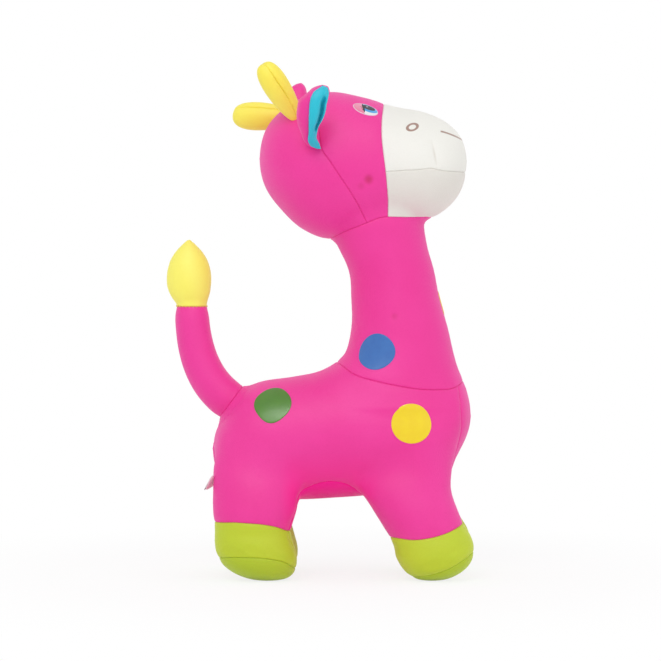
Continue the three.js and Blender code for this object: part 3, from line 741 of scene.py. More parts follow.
def relaxed(points, triangles, field, rounds, pull=0.6):  # evens the mesh out on the surface
    ends = np.vstack([triangles[:, [0, 1]], triangles[:, [1, 2]], triangles[:, [2, 0]]])
    ends = np.vstack([ends, ends[:, ::-1]])
    here, there = ends.T
    count = np.bincount(here, minlength=len(points))[:, None]
    for _ in range(rounds):
        total = [np.bincount(here, points[there, k], len(points)) for k in range(3)]
        points = settle(points + pull * (np.stack(total, 1) / count - points), field, 1)
    return settle(points, field)


def splitAt(skin, value, snap=0.02):  # cuts every triangle that the line value = 0 crosses
    points, normals, faces = skin
    value = np.where(np.abs(value) < snap, 0, value)
    sign = np.sign(value)[faces]
    crossed = (sign.max(1) > 0) & (sign.min(1) < 0)
    whole, cut = faces[~crossed], faces[crossed]
    if not len(cut):
        return skin
    sign = sign[crossed]
    touching = (sign == 0).any(1)
    alone = np.where(touching, (sign == 0).argmax(1), (sign * sign.sum(1, keepdims=True)).argmin(1))
    cut = np.take_along_axis(cut, (alone[:, None] + np.arange(3)) % 3, 1)
    two, three = cut[touching], cut[~touching]
    pairs = np.sort(np.vstack([two[:, [1, 2]], three[:, [0, 1]], three[:, [0, 2]]]), 1)
    both, back = np.unique(pairs, axis=0, return_inverse=True)
    first, last = value[both[:, 0]], value[both[:, 1]]
    share = (first / (first - last))[:, None]
    newPoints = points[both[:, 0]] * (1 - share) + points[both[:, 1]] * share
    newNormals = unit(normals[both[:, 0]] * (1 - share) + normals[both[:, 1]] * share)
    ids = len(points) + back.reshape(-1)
    n, m = len(two), len(three)
    mid, left, right = ids[:n], ids[n : n + m], ids[n + m :]
    made = [
        whole,
        np.stack([two[:, 0], two[:, 1], mid], 1),
        np.stack([two[:, 0], mid, two[:, 2]], 1),
        np.stack([three[:, 0], left, right], 1),
        np.stack([left, three[:, 1], three[:, 2]], 1),
        np.stack([left, three[:, 2], right], 1),
    ]
    return np.vstack([points, newPoints]), np.vstack([normals, newNormals]), np.vstack(made)


def alongSkin(skin, seam):  # a seam's field as millimetres along the skin
    points, normals, _ = skin
    slope = slopeOf(points, seam)
    slope -= (slope * normals).sum(1, keepdims=True) * normals
    return seam(points) / np.clip(np.linalg.norm(slope, axis=1), *seamLook["slopes"])


seamLook = {
    "rows": (0.1, 0.3, 0.65, 1.15, 1.9),  # extra rows of the skin beside a seam
    "roll": 1.15,  # how far from the seam the knit starts to turn in
    "depth": 0.85,
    "pull": 0.38,  # the wider, softer dip that the thread pulls
    "pullReach": 6.5,
    "pucker": 0.35,  # how uneven that dip is
    "puckerLength": 5.5,
    "slopes": (0.25, 4.0),  # flattest and steepest slope that a seam is measured by
    "spill": 0.5,  # how far a panel's points may lie past a seam that bounds it
}


def sewn(skin, seams):
    for seam in seams:
        skin = splitAt(skin, alongSkin(skin, seam))
        for row in seamLook["rows"]:
            for side in (-1, 1):
                skin = splitAt(skin, alongSkin(skin, seam) - side * row)
    return skin


def ripple(points, length):  # a smooth unevenness from -1 to 1
    u = points * (2 * np.pi / length)
    return (
        np.sin(u[:, 0] + 1.7 * np.sin(0.6 * u[:, 2]))
        + np.sin(0.9 * u[:, 1] + 1.3)
        + np.sin(u[:, 2] + 1.1 * np.sin(0.7 * u[:, 0] + 2))
    ) / 3


def seamDip(points, away):
    near = np.clip(1 - away / seamLook["roll"], 0, 1)
    rolled = seamLook["depth"] * (1 - np.sqrt(np.maximum(1 - near * near, 0)))
    soft = np.exp(-((away / (seamLook["pullReach"] / 2)) ** 2))
    uneven = 1 + seamLook["pucker"] * ripple(points, seamLook["puckerLength"])
    return rolled + seamLook["pull"] * soft * uneven


def addPiece(name, points, faces, material, uvs=None):
    mesh = bpy.data.meshes.new(name)
    mesh.from_pydata((np.asarray(points) / 1000).tolist(), [], np.asarray(faces).tolist())
    mesh.shade_smooth()
    if uvs is not None:
        layer = mesh.uv_layers.new(name="print")
        corner = np.zeros(len(mesh.loops), int)
        mesh.loops.foreach_get("vertex_index", corner)
        layer.data.foreach_set("uv", np.asarray(uvs)[corner].ravel())
    mesh.materials.append(material)
    piece = bpy.data.objects.new(name, mesh)
    scene.collection.objects.link(piece)
    return piece


# The stuffed skin: rough shells, one even mesh over them, settled on the form
shells = [list(lyingRings(torso)), list(neckRings()), list(lyingRings(head))]
shells += [list(legRings(leg, side)) for leg in (hindLeg, foreLeg) for side in (-1, 1)]
shells += [list(tailRings()), list(tuftRings())]
skinVoxel = 1.7
points, triangles = voxelSkin(shells, skinVoxel)
points = relaxed(points, triangles, toyForm, rounds=8)
normals = unit(slopeOf(points, toyForm))
skin = (points, normals, triangles)
print("skin settled:", len(points), "points")

# Seams, each as a line in side view or in height, measured on the photograph
seamEnds = {  # where a seam stops or goes over into another one
    "chestRear": 62.0,
    "chestLow": 71.0,
    "rumpFront": -40.0,
    "gussetTop": 93.0,
    "chestFront": 80.0,  # ahead of this the chest panel runs on up to the neck
    "feet": 10.0,  # between the hind feet and the fore feet
    "tail": (-45.0, 94.0),  # the tail's root seam lies behind and above this
    "tailClear": 6.0,  # past this length along the tail its ground on the rump ends
    "tailSteep": 4.0,
    "tuft": -60.0,
    "neckAbove": 120.0,
    "headAbove": 200.0,
    "none": -50.0,  # the field where a seam can't be
}


def levelSeam(rows, foreRows=None):  # above 0 over a line of heights; fore feet have their own
    line = smoothLine(rows)
    foreLine = smoothLine(foreRows) if foreRows else line
    return lambda p: p[:, 2] - np.where(p[:, 0] < seamEnds["feet"], line(p[:, 0]), foreLine(p[:, 0]))


def uprightSeam(rows):  # above 0 ahead of a line of places by height
    line = smoothLine(rows)
    return lambda p: p[:, 0] - line(p[:, 2])


neckSeam = levelSeam(
    [(2, 151.2), (8, 146.7), (14, 143.6), (21.6, 138.4), (37.1, 133.4), (52.6, 130.1)]
    + [(68.1, 127.8), (79.7, 127.4), (88, 127.8), (94, 129.8), (100, 134.2)]
)
headSeam = levelSeam(
    [(0, 223.2), (7.6, 227.2), (17.9, 232.4), (24.5, 235.2), (31.5, 238), (38.4, 240.8)]
    + [(44.2, 242.1), (51.6, 242.1), (66.2, 241.5), (76, 241.5)]
)
chinSeam = levelSeam(
    [(38, 271.6), (44.6, 271.9), (56, 272.6), (67.3, 273.3), (75.2, 274.1), (79.8, 272.9)]
    + [(86, 272.3), (97.8, 271.9), (104, 271.8)]
)
footSeam = levelSeam(
    [(-75, 38.7), (-63.9, 39.6), (-56.6, 40.1), (-48.7, 39.8), (-35.9, 38.6), (-27.5, 36.6)]
    + [(-21, 33.8), (-14, 32.7)],
    [(44, 28.7), (49.8, 28.8), (61.5, 28.4), (72.5, 29.8), (84.9, 33.2), (96.7, 38.6), (106, 42.7)],
)
soleSeam = levelSeam(
    [(-78, 12.2), (-64.5, 15.6), (-47.3, 16.8), (-33.5, 16), (-21.1, 12.4), (-14, 6.7)],
    [(58, 1.8), (69.1, 3.4), (78, 5.8), (89, 10.4), (98.7, 16.2), (106, 21.2)],
)
faceSeam = uprightSeam(
    [(212.2, 44.5), (223.2, 40.3), (231, 36), (238, 31.7), (248.7, 26.3), (259.6, 19.8)]
    + [(269.3, 13.3), (279.1, 6.8), (286.6, 1.6), (297.2, 0), (327.2, -3)]
)
muzzleSeam = uprightSeam(
    [(232.2, 46.4), (241.8, 45.9), (254.2, 45.6), (261.5, 44.9), (272.5, 43.8), (283.5, 42.4)]
    + [(295.2, 41.3), (305.4, 41.5), (319.2, 43.4)]
)
gussetLine = smoothLine(  # half width of the underside panel, rump to chest
    [(-90, 26), (-60, 27), (-40, 32), (-24, 35), (-18, 33), (-13, 28), (-6, 28), (0, 29.6)]
    + [(7, 30.2), (15.8, 28.5), (22, 25.4), (28, 22.4), (38, 22), (50, 24), (110, 24)]
)
rumpLine = smoothLine(  # the share of it that is left, by height
    [(37.2, 1), (59.2, 0.94), (73.2, 0.72), (85.2, 0.36), (94.2, -0.1), (107.2, -0.5)]
)
chestLine = smoothLine(  # half width of the chest panel, by height
    [(27, 24), (47, 24), (69, 21), (90.6, 22.2), (99, 23.8), (107.5, 25.4), (117, 24.2)]
    + [(126.3, 19.5), (131, 16)]
)


def centreSeam(p):
    return p[:, 1]


def gussetSeam(p):  # above 0 under the belly, between the legs and up the chest
    x, y, z = p.T
    half = np.where(x > seamEnds["chestRear"], chestLine(z), gussetLine(x))
    half = np.where(x < seamEnds["rumpFront"], half * rumpLine(z), half)
    top = np.where(x > seamEnds["chestFront"], np.inf, seamEnds["gussetTop"])
    return np.minimum(half - np.abs(y), top - z)


def chestEndSeam(p):
    return np.minimum(p[:, 2] - seamEnds["chestLow"], p[:, 0] - seamEnds["chestRear"])


def tailSeam(p):  # above 0 on the tail's side of its root seam
    flat = p[:, [0, 2]] - tail["seam"]
    along = flat @ tailWay
    away = np.hypot(flat @ (tailWay[1], -tailWay[0]), p[:, 1])
    ground = tail["ground"] - away + np.maximum(along - seamEnds["tailClear"], 0)
    near = np.minimum(along, ground * seamEnds["tailSteep"])
    behind = (p[:, 0] < seamEnds["tail"][0]) & (p[:, 2] > seamEnds["tail"][1])
    return np.where(behind, near, seamEnds["none"])


def tuftSeam(p):
    return np.where(p[:, 0] < seamEnds["tuft"], p[:, 2] - tailEnd[1], seamEnds["none"])


seams = [neckSeam, headSeam, centreSeam, gussetSeam, chestEndSeam, footSeam, soleSeam]
seams += [faceSeam, muzzleSeam, chinSeam, tailSeam, tuftSeam]
skin = sewn(skin, seams)
points, normals, triangles = skin
print("skin cut:", len(points), "points,", len(triangles), "triangles")

# Panels: which triangles of the skin each one takes
middles = points[triangles].mean(1)
height = middles[:, 2]
onTail = tailSeam(middles) > 0
onTuft = onTail & (tuftSeam(middles) > 0)
onHead = (headSeam(middles) > 0) & (height > seamEnds["headAbove"]) & ~onTail
onNeck = ~onHead & ~onTail & (neckSeam(middles) > 0) & (height > seamEnds["neckAbove"])
onLeg = ~onHead & ~onNeck & (footSeam(middles) < 0)
onSole = onLeg & (soleSeam(middles) < 0)
onFront = middles[:, 0] > seamEnds["feet"]
onGusset = ~(onHead | onNeck | onLeg | onTail) & (gussetSeam(middles) > 0)
onChest = onGusset & (chestEndSeam(middles) > 0)
onRight = middles[:, 1] < 0
onBack = onHead & (faceSeam(middles) < 0)
onFace = onHead & ~onBack & (muzzleSeam(middles) < 0)
onMuzzle = onHead & ~onBack & ~onFace & (chinSeam(middles) > 0)
onChin = onHead & ~onBack & ~onFace & ~onMuzzle
panels = [  # piece, its triangles, material, slot and the solids it stands for
    ("headBack", onBack, pinkKnit, "pink_knit", ["head_back"]),
    ("face", onFace, pinkKnit, "pink_knit", ["face"]),
    ("muzzle", onMuzzle, muzzleKnit, "white_knit", ["muzzle"]),
    ("chin", onChin, shadedChinKnit, "white_knit", ["chin"]),
    ("bellyGusset", onGusset & ~onChest, gussetShadeKnit, "pink_knit", ["belly_gusset"]),
    ("chestGusset", onChest, pinkKnit, "pink_knit", ["chest_gusset"]),
    ("tail", onTail & ~onTuft, pinkKnit, "pink_knit", ["tail"]),
    ("tailTuft", onTuft, yellowKnit, "yellow_knit", ["tail_tuft"]),
]
for sideName, here in (("right", onRight), ("left", ~onRight)):
    end = sideName.capitalize()
    flank = here & ~(onHead | onNeck | onLeg | onGusset | onTail)
    flankNodes = [f"{part}_{sideName}" for part in ("torso_panel", "hind_leg", "fore_leg")]
    panels.append((f"flank{end}", flank, pinkKnit, "pink_knit", flankNodes))
    panels.append((f"neck{end}", here & onNeck, pinkKnit, "pink_knit", [f"neck_panel_{sideName}"]))
    for part, there in (("hind", ~onFront), ("fore", onFront)):
        foot, sole = here & there & onLeg & ~onSole, here & there & onSole
        footNodes, soleNodes = [f"{part}_foot_{sideName}"], [f"{part}_sole_{sideName}"]
        panels.append((f"{part}Foot{end}", foot, limeKnit, "lime_knit", footNodes))
        panels.append((f"{part}Sole{end}", sole, soleKnit, "sole_knit", soleNodes))

# Small dents in the skin: ends in side view (x, z), radius and depth
dents = [
    ((32.6, 267.0), (32.6, 267.0), 3.0, 1.2),  # a thread pulls the cheek in
    ((27.6, 262.4), (27.6, 262.4), 2.4, 0.4),
    ((49.8, 175.9), (49.8, 175.9), 2.2, 0.35),
    ((74.5, 291.3), (77.3, 277.2), 1.6, 0.75),  # dart above the chin's seam
    ((-9.5, 63.2), (-12.5, 55.2), 1.8, 0.80),  # fold where the hind leg begins
    ((-61.0, 22.2), (-52.0, 18.7), 2.4, 0.60),  # the sole's seam puckers the feet
    ((-47.0, 22.7), (-38.0, 19.2), 2.2, 0.55),
    ((-33.0, 20.7), (-26.0, 15.7), 2.0, 0.50),
    ((72.0, 11.2), (84.0, 14.7), 2.4, 0.50),
    ((84.0, 18.2), (97.0, 24.2), 2.2, 0.55),
]


def dentDepth(points):
    depth = np.zeros(len(points))
    flat = points[:, [0, 2]]
    for start, end, radius, deep in dents:
        start, way = np.array(start), np.array(end) - start
        along = np.clip(((flat - start) @ way) / max(way @ way, 1e-6), 0, 1)
        away = np.linalg.norm(flat - start - along[:, None] * way, axis=1)
        depth += deep * np.exp(-((away / radius) ** 2))
    return depth


def nearestSeam(values, inner):  # how far points lie from the seams that bound their piece
    away = np.full(values.shape[1], np.inf)
    spill = seamLook["spill"]
    for seam, value in zip(seams, values):
        if value.min() > -spill or value.max() < spill or seam in inner:
            away = np.minimum(away, np.abs(value))
    return away


innerSeams = {"tailTuft": [centreSeam]}  # seams that run on through a piece
innerSeams.update({name: [gussetSeam] for name, *_ in panels if "Foot" in name})
fields = np.stack([alongSkin(skin, seam) for seam in seams])
dent = dentDepth(points)
for name, inside, material, slot, nodes in panels:
    used, faces = np.unique(triangles[inside], return_inverse=True)
    away = nearestSeam(fields[:, used], innerSeams.get(name, []))
    sunk = points[used] - (seamDip(points[used], away) + dent[used])[:, None] * normals[used]
    piece = addPiece(name, sunk, faces.reshape(-1, 3), material)
    if name == "tail":
        root = np.array([tail["seam"][0], 0, tail["seam"][1]])
        end = root + tail["bend"] * np.array([tailWay[0], 0, tailWay[1]])
        tuple(root / 1000)
        tuple(end / 1000)
        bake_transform(piece)
    else:
        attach(piece, "tail" if name == "tailTuft" else "body")
    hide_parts(*nodes)
print("panels sewn")

# Filling: the fibre that the cover holds. The tail is left out of it.
stuffing = {
    "voxel": 5.0,
    "inset": 3.4,  # the cover's thickness and the depth of its seams
    "torsoBelow": 120.0,
    "headAbove": 215.0,
    "tufts": 400.0,  # scale of the fibre's tufts
}
corePoints, coreFaces = voxelSkin(shells[:-2], stuffing["voxel"])
corePoints = relaxed(
    corePoints, coreFaces, lambda p: toyForm(p, tailed=False) + stuffing["inset"], rounds=4
)
coreX, _, coreZ = corePoints.T
for form, here in ((torso, coreZ < stuffing["torsoBelow"]), (head, coreZ > stuffing["headAbove"])):
    low, high = form["rear"] + stuffing["inset"], form["rear"] + form["length"] - stuffing["inset"]
    corePoints[here, 0] = np.clip(coreX[here], low, high)
fibrePaint = Paint("fibre")
fibreWhere, _ = fibrePaint.place()
fibreTuft = fibrePaint.noise(fibreWhere, stuffing["tufts"], 6.0)
fibre = fibrePaint.finish(
    {
        "Base Color": fibrePaint.mix(fibreTuft, hue(230, 230, 226), hue(250, 250, 248)),
        "Roughness": 0.95,
        "Normal": fibrePaint.bump(fibreTuft, 1.0, 0.002),
    }
)
filling = addPiece("filling", corePoints, coreFaces, fibre)
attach(filling, "body")
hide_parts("filling")
print("cover stuffed")


def meshNormals(points, faces):
    corners = points[faces]
    across = np.cross(corners[:, 1] - corners[:, 0], corners[:, 2] - corners[:, 0])
    total = [np.bincount(faces.ravel(), np.repeat(across[:, k], 3), len(points)) for k in range(3)]
    return unit(np.stack(total, 1))


def gridFaces(rows, columns, wrapped=True):  # triangles of a grid, closed round if wrapped
    row, column = np.mgrid[0 : rows - 1, 0 : columns if wrapped else columns - 1]
    a = (row * columns + column).ravel()
    b = (row * columns + (column + 1) % columns).ravel()
    under, over = [a, b, b + columns], [a, b + columns, a + columns]
    return np.vstack([np.stack(under, 1), np.stack(over, 1)])


def outward(points, faces):
    a, b, c = (points[faces[:, i]] for i in range(3))
    volume = np.einsum("ij,ij->i", a, np.cross(b, c)).sum()
    return faces if volume > 0 else faces[:, ::-1]


horn = {
    "length": 42.5,
    "buried": 3.0,
    "flat": 0.96,  # its thickness towards the camera against its width
    "ends": (0.012, 0.988),  # where its first and last rings lie, as shares
    "tip": 0.02,  # half size of a ring where it closes
    "halves": smoothTable([0, 0.38, 0.64, 0.85, 0.98, 1.0, 0.87, 0.55, 0]),  # root to tip
    "wander": (0.3, 4.0),  # how far its seam strays and how soon
    "dip": 0.8,  # how deep the seam lies, as a share of the skin's seams
    "pinch": (0.52, 0.22, 1.3),  # where it lies deepest: middle, reach and how much more
    "bend": 9.0,  # a length along the horn from its root
    "rows": 72,
    "sides": 64,
    # side, its sign, root, thickness, way from root to tip, and where its seam lies
    "pair": (
        ("right", -1, (-15.7, 26.5, 308.6), 17.4, (-0.52, 0.25, 0.82), 17),
        ("left", 1, (-18.6, 24.0, 310.05), 19.2, (-0.96, 0.27, 0.04), 42),
    ),
}
for sideName, side, root, thick, (wayX, wayOut, wayZ), seamTurn in horn["pair"]:
    root = np.array(root) * (1, side, 1)
    way = unit(np.array([wayX, side * wayOut, wayZ]))
    toCamera = unit(np.array([0, -1.0, 0]) + way[1] * way)
    sideways = np.cross(toCamera, way)
    sideways = sideways if sideways @ (1, 0, 1) > 0 else -sideways
    turn = math.radians(seamTurn)
    seamWay = math.cos(turn) * toCamera + math.sin(turn) * sideways
    seamPlane = np.cross(way, seamWay)
    rings = []
    for t in np.linspace(*horn["ends"], horn["rows"]):
        run = (horn["length"] + horn["buried"]) * (1 - math.cos(math.pi * t)) / 2
        middle = root + way * (run - horn["buried"])
        half = max(thick / 2 * horn["halves"](t)[0], horn["tip"])
        rings.append(ovalRing(middle, sideways * half, toCamera * half * horn["flat"], horn["sides"]))

    def hornSeam(p):
        far, length = horn["wander"]
        return (p - root) @ seamPlane + far * np.sin(p[:, 2] / length)

    points = np.vstack(rings)
    faces = outward(points - points.mean(0), gridFaces(len(rings), horn["sides"]))
    hornSkin = sewn((points, meshNormals(points, faces), faces), [hornSeam])
    points, normals, faces = hornSkin
    middle, reach, more = horn["pinch"]
    pinch = np.exp(-((((points - root) @ way / horn["length"] - middle) / reach) ** 2))
    pinch *= (points - root) @ seamWay > 0
    away = np.abs(alongSkin(hornSkin, hornSeam))
    dip = (horn["dip"] + more * pinch) * seamDip(points, away)
    name = f"horn{sideName.capitalize()}"
    piece = addPiece(name, points - dip[:, None] * normals, faces, hornKnit)
    end = root + horn["bend"] * way
    tuple(root / 1000)
    tuple(end / 1000)
    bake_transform(piece)
    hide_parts(f"horn_{sideName}")
print("horns sewn on")

# Ears: a loop of knit, pink outside and padded cyan inside, folded so that a slot stays open.
# Each row of the loop is forward, outward, and outward where the slot is closed.
ear = {
    "roots": {"right": (0.4, 42.4, 287.4), "left": (0.4, 40.0, 296.1)},
    "length": {"right": 43.8, "left": 44.4},
    "lean": {"right": 1.5, "left": -23.0},  # degrees forward
    "splay": 13.0,
    "loop": [
        (-7.6, 16.0, 16.0),
        (-6.6, 17.8, 17.8),
        (-3.6, 18.6, 18.6),
        (-1.2, 17.7, 18.0),
        (-0.1, 15.0, 17.2),
        (0.2, 11.6, 16.4),
        (1.3, 9.6, 15.6),
        (2.1, 10.6, 14.6),
        (2.5, 12.6, 13.8),
        (3.2, 13.6, 13.0),
        (4.4, 11.2, 11.2),
        (4.4, 5.0, 5.0),
        (2.0, 0.0, 0.0),
        (-4.5, -1.5, -1.5),
        (-11.0, 0.5, 0.5),
        (-14.8, 6.0, 6.0),
        (-13.6, 12.0, 12.0),
        (-10.6, 15.0, 15.0),
    ],
    "centre": 8.0,  # outward place that the loop is deepened about
    "dip": 0.5,  # how deep its seams lie, as a share of the skin's seams
    "bend": (0, 2, 9),  # a way and length from its root
    # by height: forward place of the rear seam, widths ahead of it and behind it, depth outward
    "bandEdge": smoothLine(
        [(0, -2.5), (0.03, -5.6), (0.09, -7.5), (0.3, -8.0), (0.6, -8.1), (0.78, -7.6)]
        + [(0.87, -6.5), (0.94, -4.2), (1, 0.6)]
    ),
    "ahead": smoothLine(
        [(0, 0.3), (0.03, 0.52), (0.09, 0.62), (0.19, 0.53), (0.28, 0.53), (0.37, 0.6)]
        + [(0.46, 0.78), (0.57, 0.93), (0.7, 1.0), (0.8, 1.02), (0.88, 0.97), (0.94, 0.76)]
        + [(0.98, 0.4), (1, 0.04)]
    ),
    "behind": smoothLine(
        [(0, 0.12), (0.05, 0.24), (0.22, 0.55), (0.34, 0.87), (0.47, 1.03), (0.62, 1.04)]
        + [(0.77, 0.86), (0.88, 0.32), (0.95, 0.2), (1, 0.04)]
    ),
    "deep": smoothLine(
        [(0, 0.2), (0.06, 0.42), (0.3, 0.82), (0.5, 1.0), (0.75, 0.98), (0.9, 0.75)]
        + [(0.97, 0.42), (1, 0.05)]
    ),
    # by height: outward place of its middle, and how far the slot is open
    "middle": smoothLine([(0, 1.5), (0.15, 4.0), (0.3, 6.5), (0.5, 8.0), (0.75, 8.4), (1, 8.4)]),
    "open": smoothLine(
        [(0, 0), (0.26, 0.0), (0.36, 0.8), (0.45, 1), (0.7, 1), (0.8, 0.7), (0.87, 0.0), (1, 0)]
    ),
    "rows": 72,
    # each part's first and last row of the loop, columns, knit, slot and solid
    "parts": {
        "earLining": (0, 10, 72, cyanKnit, "blue_knit", "ear_lining"),
        "earShell": (10, 18, 52, pinkKnit, "pink_knit", "ear_shell"),
    },
}
loopRows = np.array(ear["loop"])
loopAt = smoothTable(np.vstack([loopRows[-1:], loopRows, loopRows[:2]]))


def earLoop(v, q):  # forward and outward of the ear's loop at height share v, for loop places q
    forward, wide, shut = loopAt((1 + q) / (len(loopRows) + 2)).T
    outwards = shut + (wide - shut) * ear["open"](v)
    offset = forward - loopRows[0, 0]
    scale = np.where(offset > 0, ear["ahead"](v), ear["behind"](v))
    deep = (outwards - ear["centre"]) * ear["deep"](v)
    return ear["bandEdge"](v) + offset * scale, ear["middle"](v) + deep


heights = (1 - np.cos(np.linspace(0.25, np.pi, ear["rows"]))) / 2
heights = (heights - heights[0]) / (1 - heights[0])
for sideName, side in bothSides:
    lean, splay = math.radians(ear["lean"][sideName]), math.radians(ear["splay"])
    root = np.array(ear["roots"][sideName]) * (1, side, 1)
    end = root + np.array(ear["bend"]) * (1, side, 1)
    for part, (first, last, columns, knit, slot, node) in ear["parts"].items():
        q = first + (last - first) * (0.5 - 0.5 * np.cos(np.linspace(0, np.pi, columns)))
        grid = []
        for v in heights:
            up = np.full(columns, v * ear["length"][sideName])
            grid.append(np.stack([*earLoop(v, q), up], 1))
        grid = np.array(grid)
        steps = np.linalg.norm(np.diff(grid, axis=1), axis=2)
        run = np.concatenate([np.zeros((len(grid), 1)), np.cumsum(steps, 1)], 1)
        away = np.minimum(run, run[:, -1:] - run).ravel()
        f, o, u = grid.reshape(-1, 3).T
        x, u = f * math.cos(lean) + u * math.sin(lean), u * math.cos(lean) - f * math.sin(lean)
        y = side * (o * math.cos(splay) + u * math.sin(splay))
        z = u * math.cos(splay) - o * math.sin(splay)
        points = np.stack([x, y, z], 1) + root
        faces = gridFaces(len(grid), columns, wrapped=False)
        normals = meshNormals(points, faces)
        if ((points - points.mean(0)) * normals).sum() < 0:
            faces, normals = faces[:, ::-1], -normals
        dip = ear["dip"] * seamDip(points, away)
        name = part + sideName.capitalize()
        piece = addPiece(name, points - dip[:, None] * normals, faces, knit)
        tuple(root / 1000)
        tuple(end / 1000)
        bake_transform(piece)
        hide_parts(f"{node}_{sideName}")
print("ears sewn on")

# Printed films: eyes and round spots
filmLook = {
    "thick": 0.32,
    "rings": 14,
    "sides": 72,
    "flat": 0.96,  # share of its size up to which it is evenly thick
    "rim": ((0.985, 0.93), (1.0, 0.6), (1.0, -0.8)),  # share of the film's size, and its lift
    "corners": (4, 0.6),  # how many a squarish spot has, and how far they are turned
    "weave": 0.9,  # width of one thread under the film
    "weaveDepth": 0.02,
    "patch": 160.0,  # scale of the unevenness
    "patchDepth": 0.10,
    "shade": (1.6, 0.35),  # how sharply its shade sets in, and from where
    "bump": 0.6,
    "roughness": 0.24,
    "uneven": 0.14,
    "coat": 0.1,
}


def filmPaint(name, colour, shade):
    paint = Paint(name)
    where, (x, y, z) = paint.place()
    turn = 2 * math.pi / filmLook["weave"]
    weave = (x * turn).sine() * (z * turn).sine() + (y * turn).sine() * 0.5
    patchy = paint.noise(where, filmLook["patch"], 4.0)
    height = weave * filmLook["weaveDepth"] + patchy * filmLook["patchDepth"]
    sharp, level = filmLook["shade"]
    return paint.finish(
        {
            "Base Color": paint.mix((patchy * sharp - level).held(), colour, shade),
            "Roughness": filmLook["roughness"] + patchy * filmLook["uneven"],
            "Normal": paint.bump(height, filmLook["bump"]),
            "Specular IOR Level": 0.5,
            "Coat Weight": filmLook["coat"],
        }
    )


# The eye's print: each blot has a centre and half sizes as shares of the film's half size,
# then how far it is turned, in degrees, and how soft its edge is
eyeLook = {
    "iris": ((0.20, 0.34), (0.75, 0.72)),
    "pupil": ((0.13, 0.44), (0.55, 0.43)),
    "liner": (((-0.20, 0.09), (0.78, 0.085), -70), ((-0.24, 0.36), (0.30, 0.14), -62)),
    "lashes": (
        ((-0.33, 0.10), (0.15, 0.04), 28, 0.2),
        ((-0.24, -0.08), (0.14, 0.04), 40, 0.2),
        ((-0.13, -0.30), (0.13, 0.04), 52, 0.2),
    ),
    "linerEnd": ((0, 0), (0.92, 0.92)),
    "glint": ((0.0, 0.54), (0.07, 0.12), 0, 0.9),
    "rim": ((0, 0), (0.955, 0.93), 0, 0.03),
    "lid": (0.939, 0.345, 0.176),  # the lid's edge: its slope along and up, and its distance
    "lidEdge": 0.05,
    "tones": {"lid": (0.5, 0.5), "iris": (0.9, 0.32), "pupil": (-0.8, 0.9)},  # rise, middle
    "roughness": 0.25,
    "coat": 0.25,
    "coatRoughness": 0.1,
}
eyeColours = {  # a low one and a high one where there are two
    "lid": (hue(226, 118, 152), hue(236, 160, 188)),
    "ball": hue(228, 228, 232),
    "iris": (hue(24, 150, 218), hue(120, 180, 228)),
    "pupil": (hue(36, 32, 56), hue(42, 38, 40)),
    "liner": hue(14, 10, 14),
    "glint": hue(176, 176, 184),
    "rim": hue(228, 206, 222),
}


def eyePaint():
    paint = Paint("eyePrint")
    flat = paint.node("ShaderNodeUVMap", {"uv_map": "print"}, {})
    u, v = (paint.node("ShaderNodeSeparateXYZ", {}, {0: flat}, i) * 2.0 - 1.0 for i in range(2))

    def blot(centre, halves, degrees=0.0, soft=0.06):
        turn = math.cos(math.radians(degrees)), math.sin(math.radians(degrees))
        a, b = u - centre[0], v - centre[1]
        along, across = a * turn[0] + b * turn[1], b * turn[0] - a * turn[1]
        away = ((along / halves[0]) ** 2.0 + (across / halves[1]) ** 2.0) ** 0.5
        return ((1.0 - away) / soft + 0.5).held()

    def tone(name):  # runs from its low colour to its high one
        rise, middle = eyeLook["tones"][name]
        return paint.mix((v * rise + middle).held(), *eyeColours[name])

    slopeU, slopeV, distance = eyeLook["lid"]
    ball = ((u * slopeU + v * slopeV + distance) / eyeLook["lidEdge"] + 0.5).held()
    liner = blot(*eyeLook["liner"][0])
    for line in (*eyeLook["liner"][1:], *eyeLook["lashes"]):
        liner = liner.most(blot(*line))
    colour = paint.mix(ball, tone("lid"), eyeColours["ball"])
    colour = paint.mix(blot(*eyeLook["iris"]) * ball, colour, tone("iris"))
    colour = paint.mix(blot(*eyeLook["pupil"]) * ball, colour, tone("pupil"))
    colour = paint.mix(liner * blot(*eyeLook["linerEnd"]), colour, eyeColours["liner"])
    colour = paint.mix(blot(*eyeLook["glint"]), colour, eyeColours["glint"])
    colour = paint.mix(1 - blot(*eyeLook["rim"]), colour, eyeColours["rim"])
    return paint.finish(
        {
            "Base Color": colour,
            "Roughness": eyeLook["roughness"],
            "Coat Weight": eyeLook["coat"],
            "Coat Roughness": eyeLook["coatRoughness"],
        }
    )


def onSkin(inside, way, farthest=70.0, halvings=40):  # where a line comes out of the skin
    low, high = 0.0, farthest
    inside, way = np.array([inside], float), np.array(way, float)
    for _ in range(halvings):
        middle = (low + high) / 2
        within = toyForm(inside + middle * way)[0] < 0
        low, high = (middle, high) if within else (low, middle)
    return inside + low * way


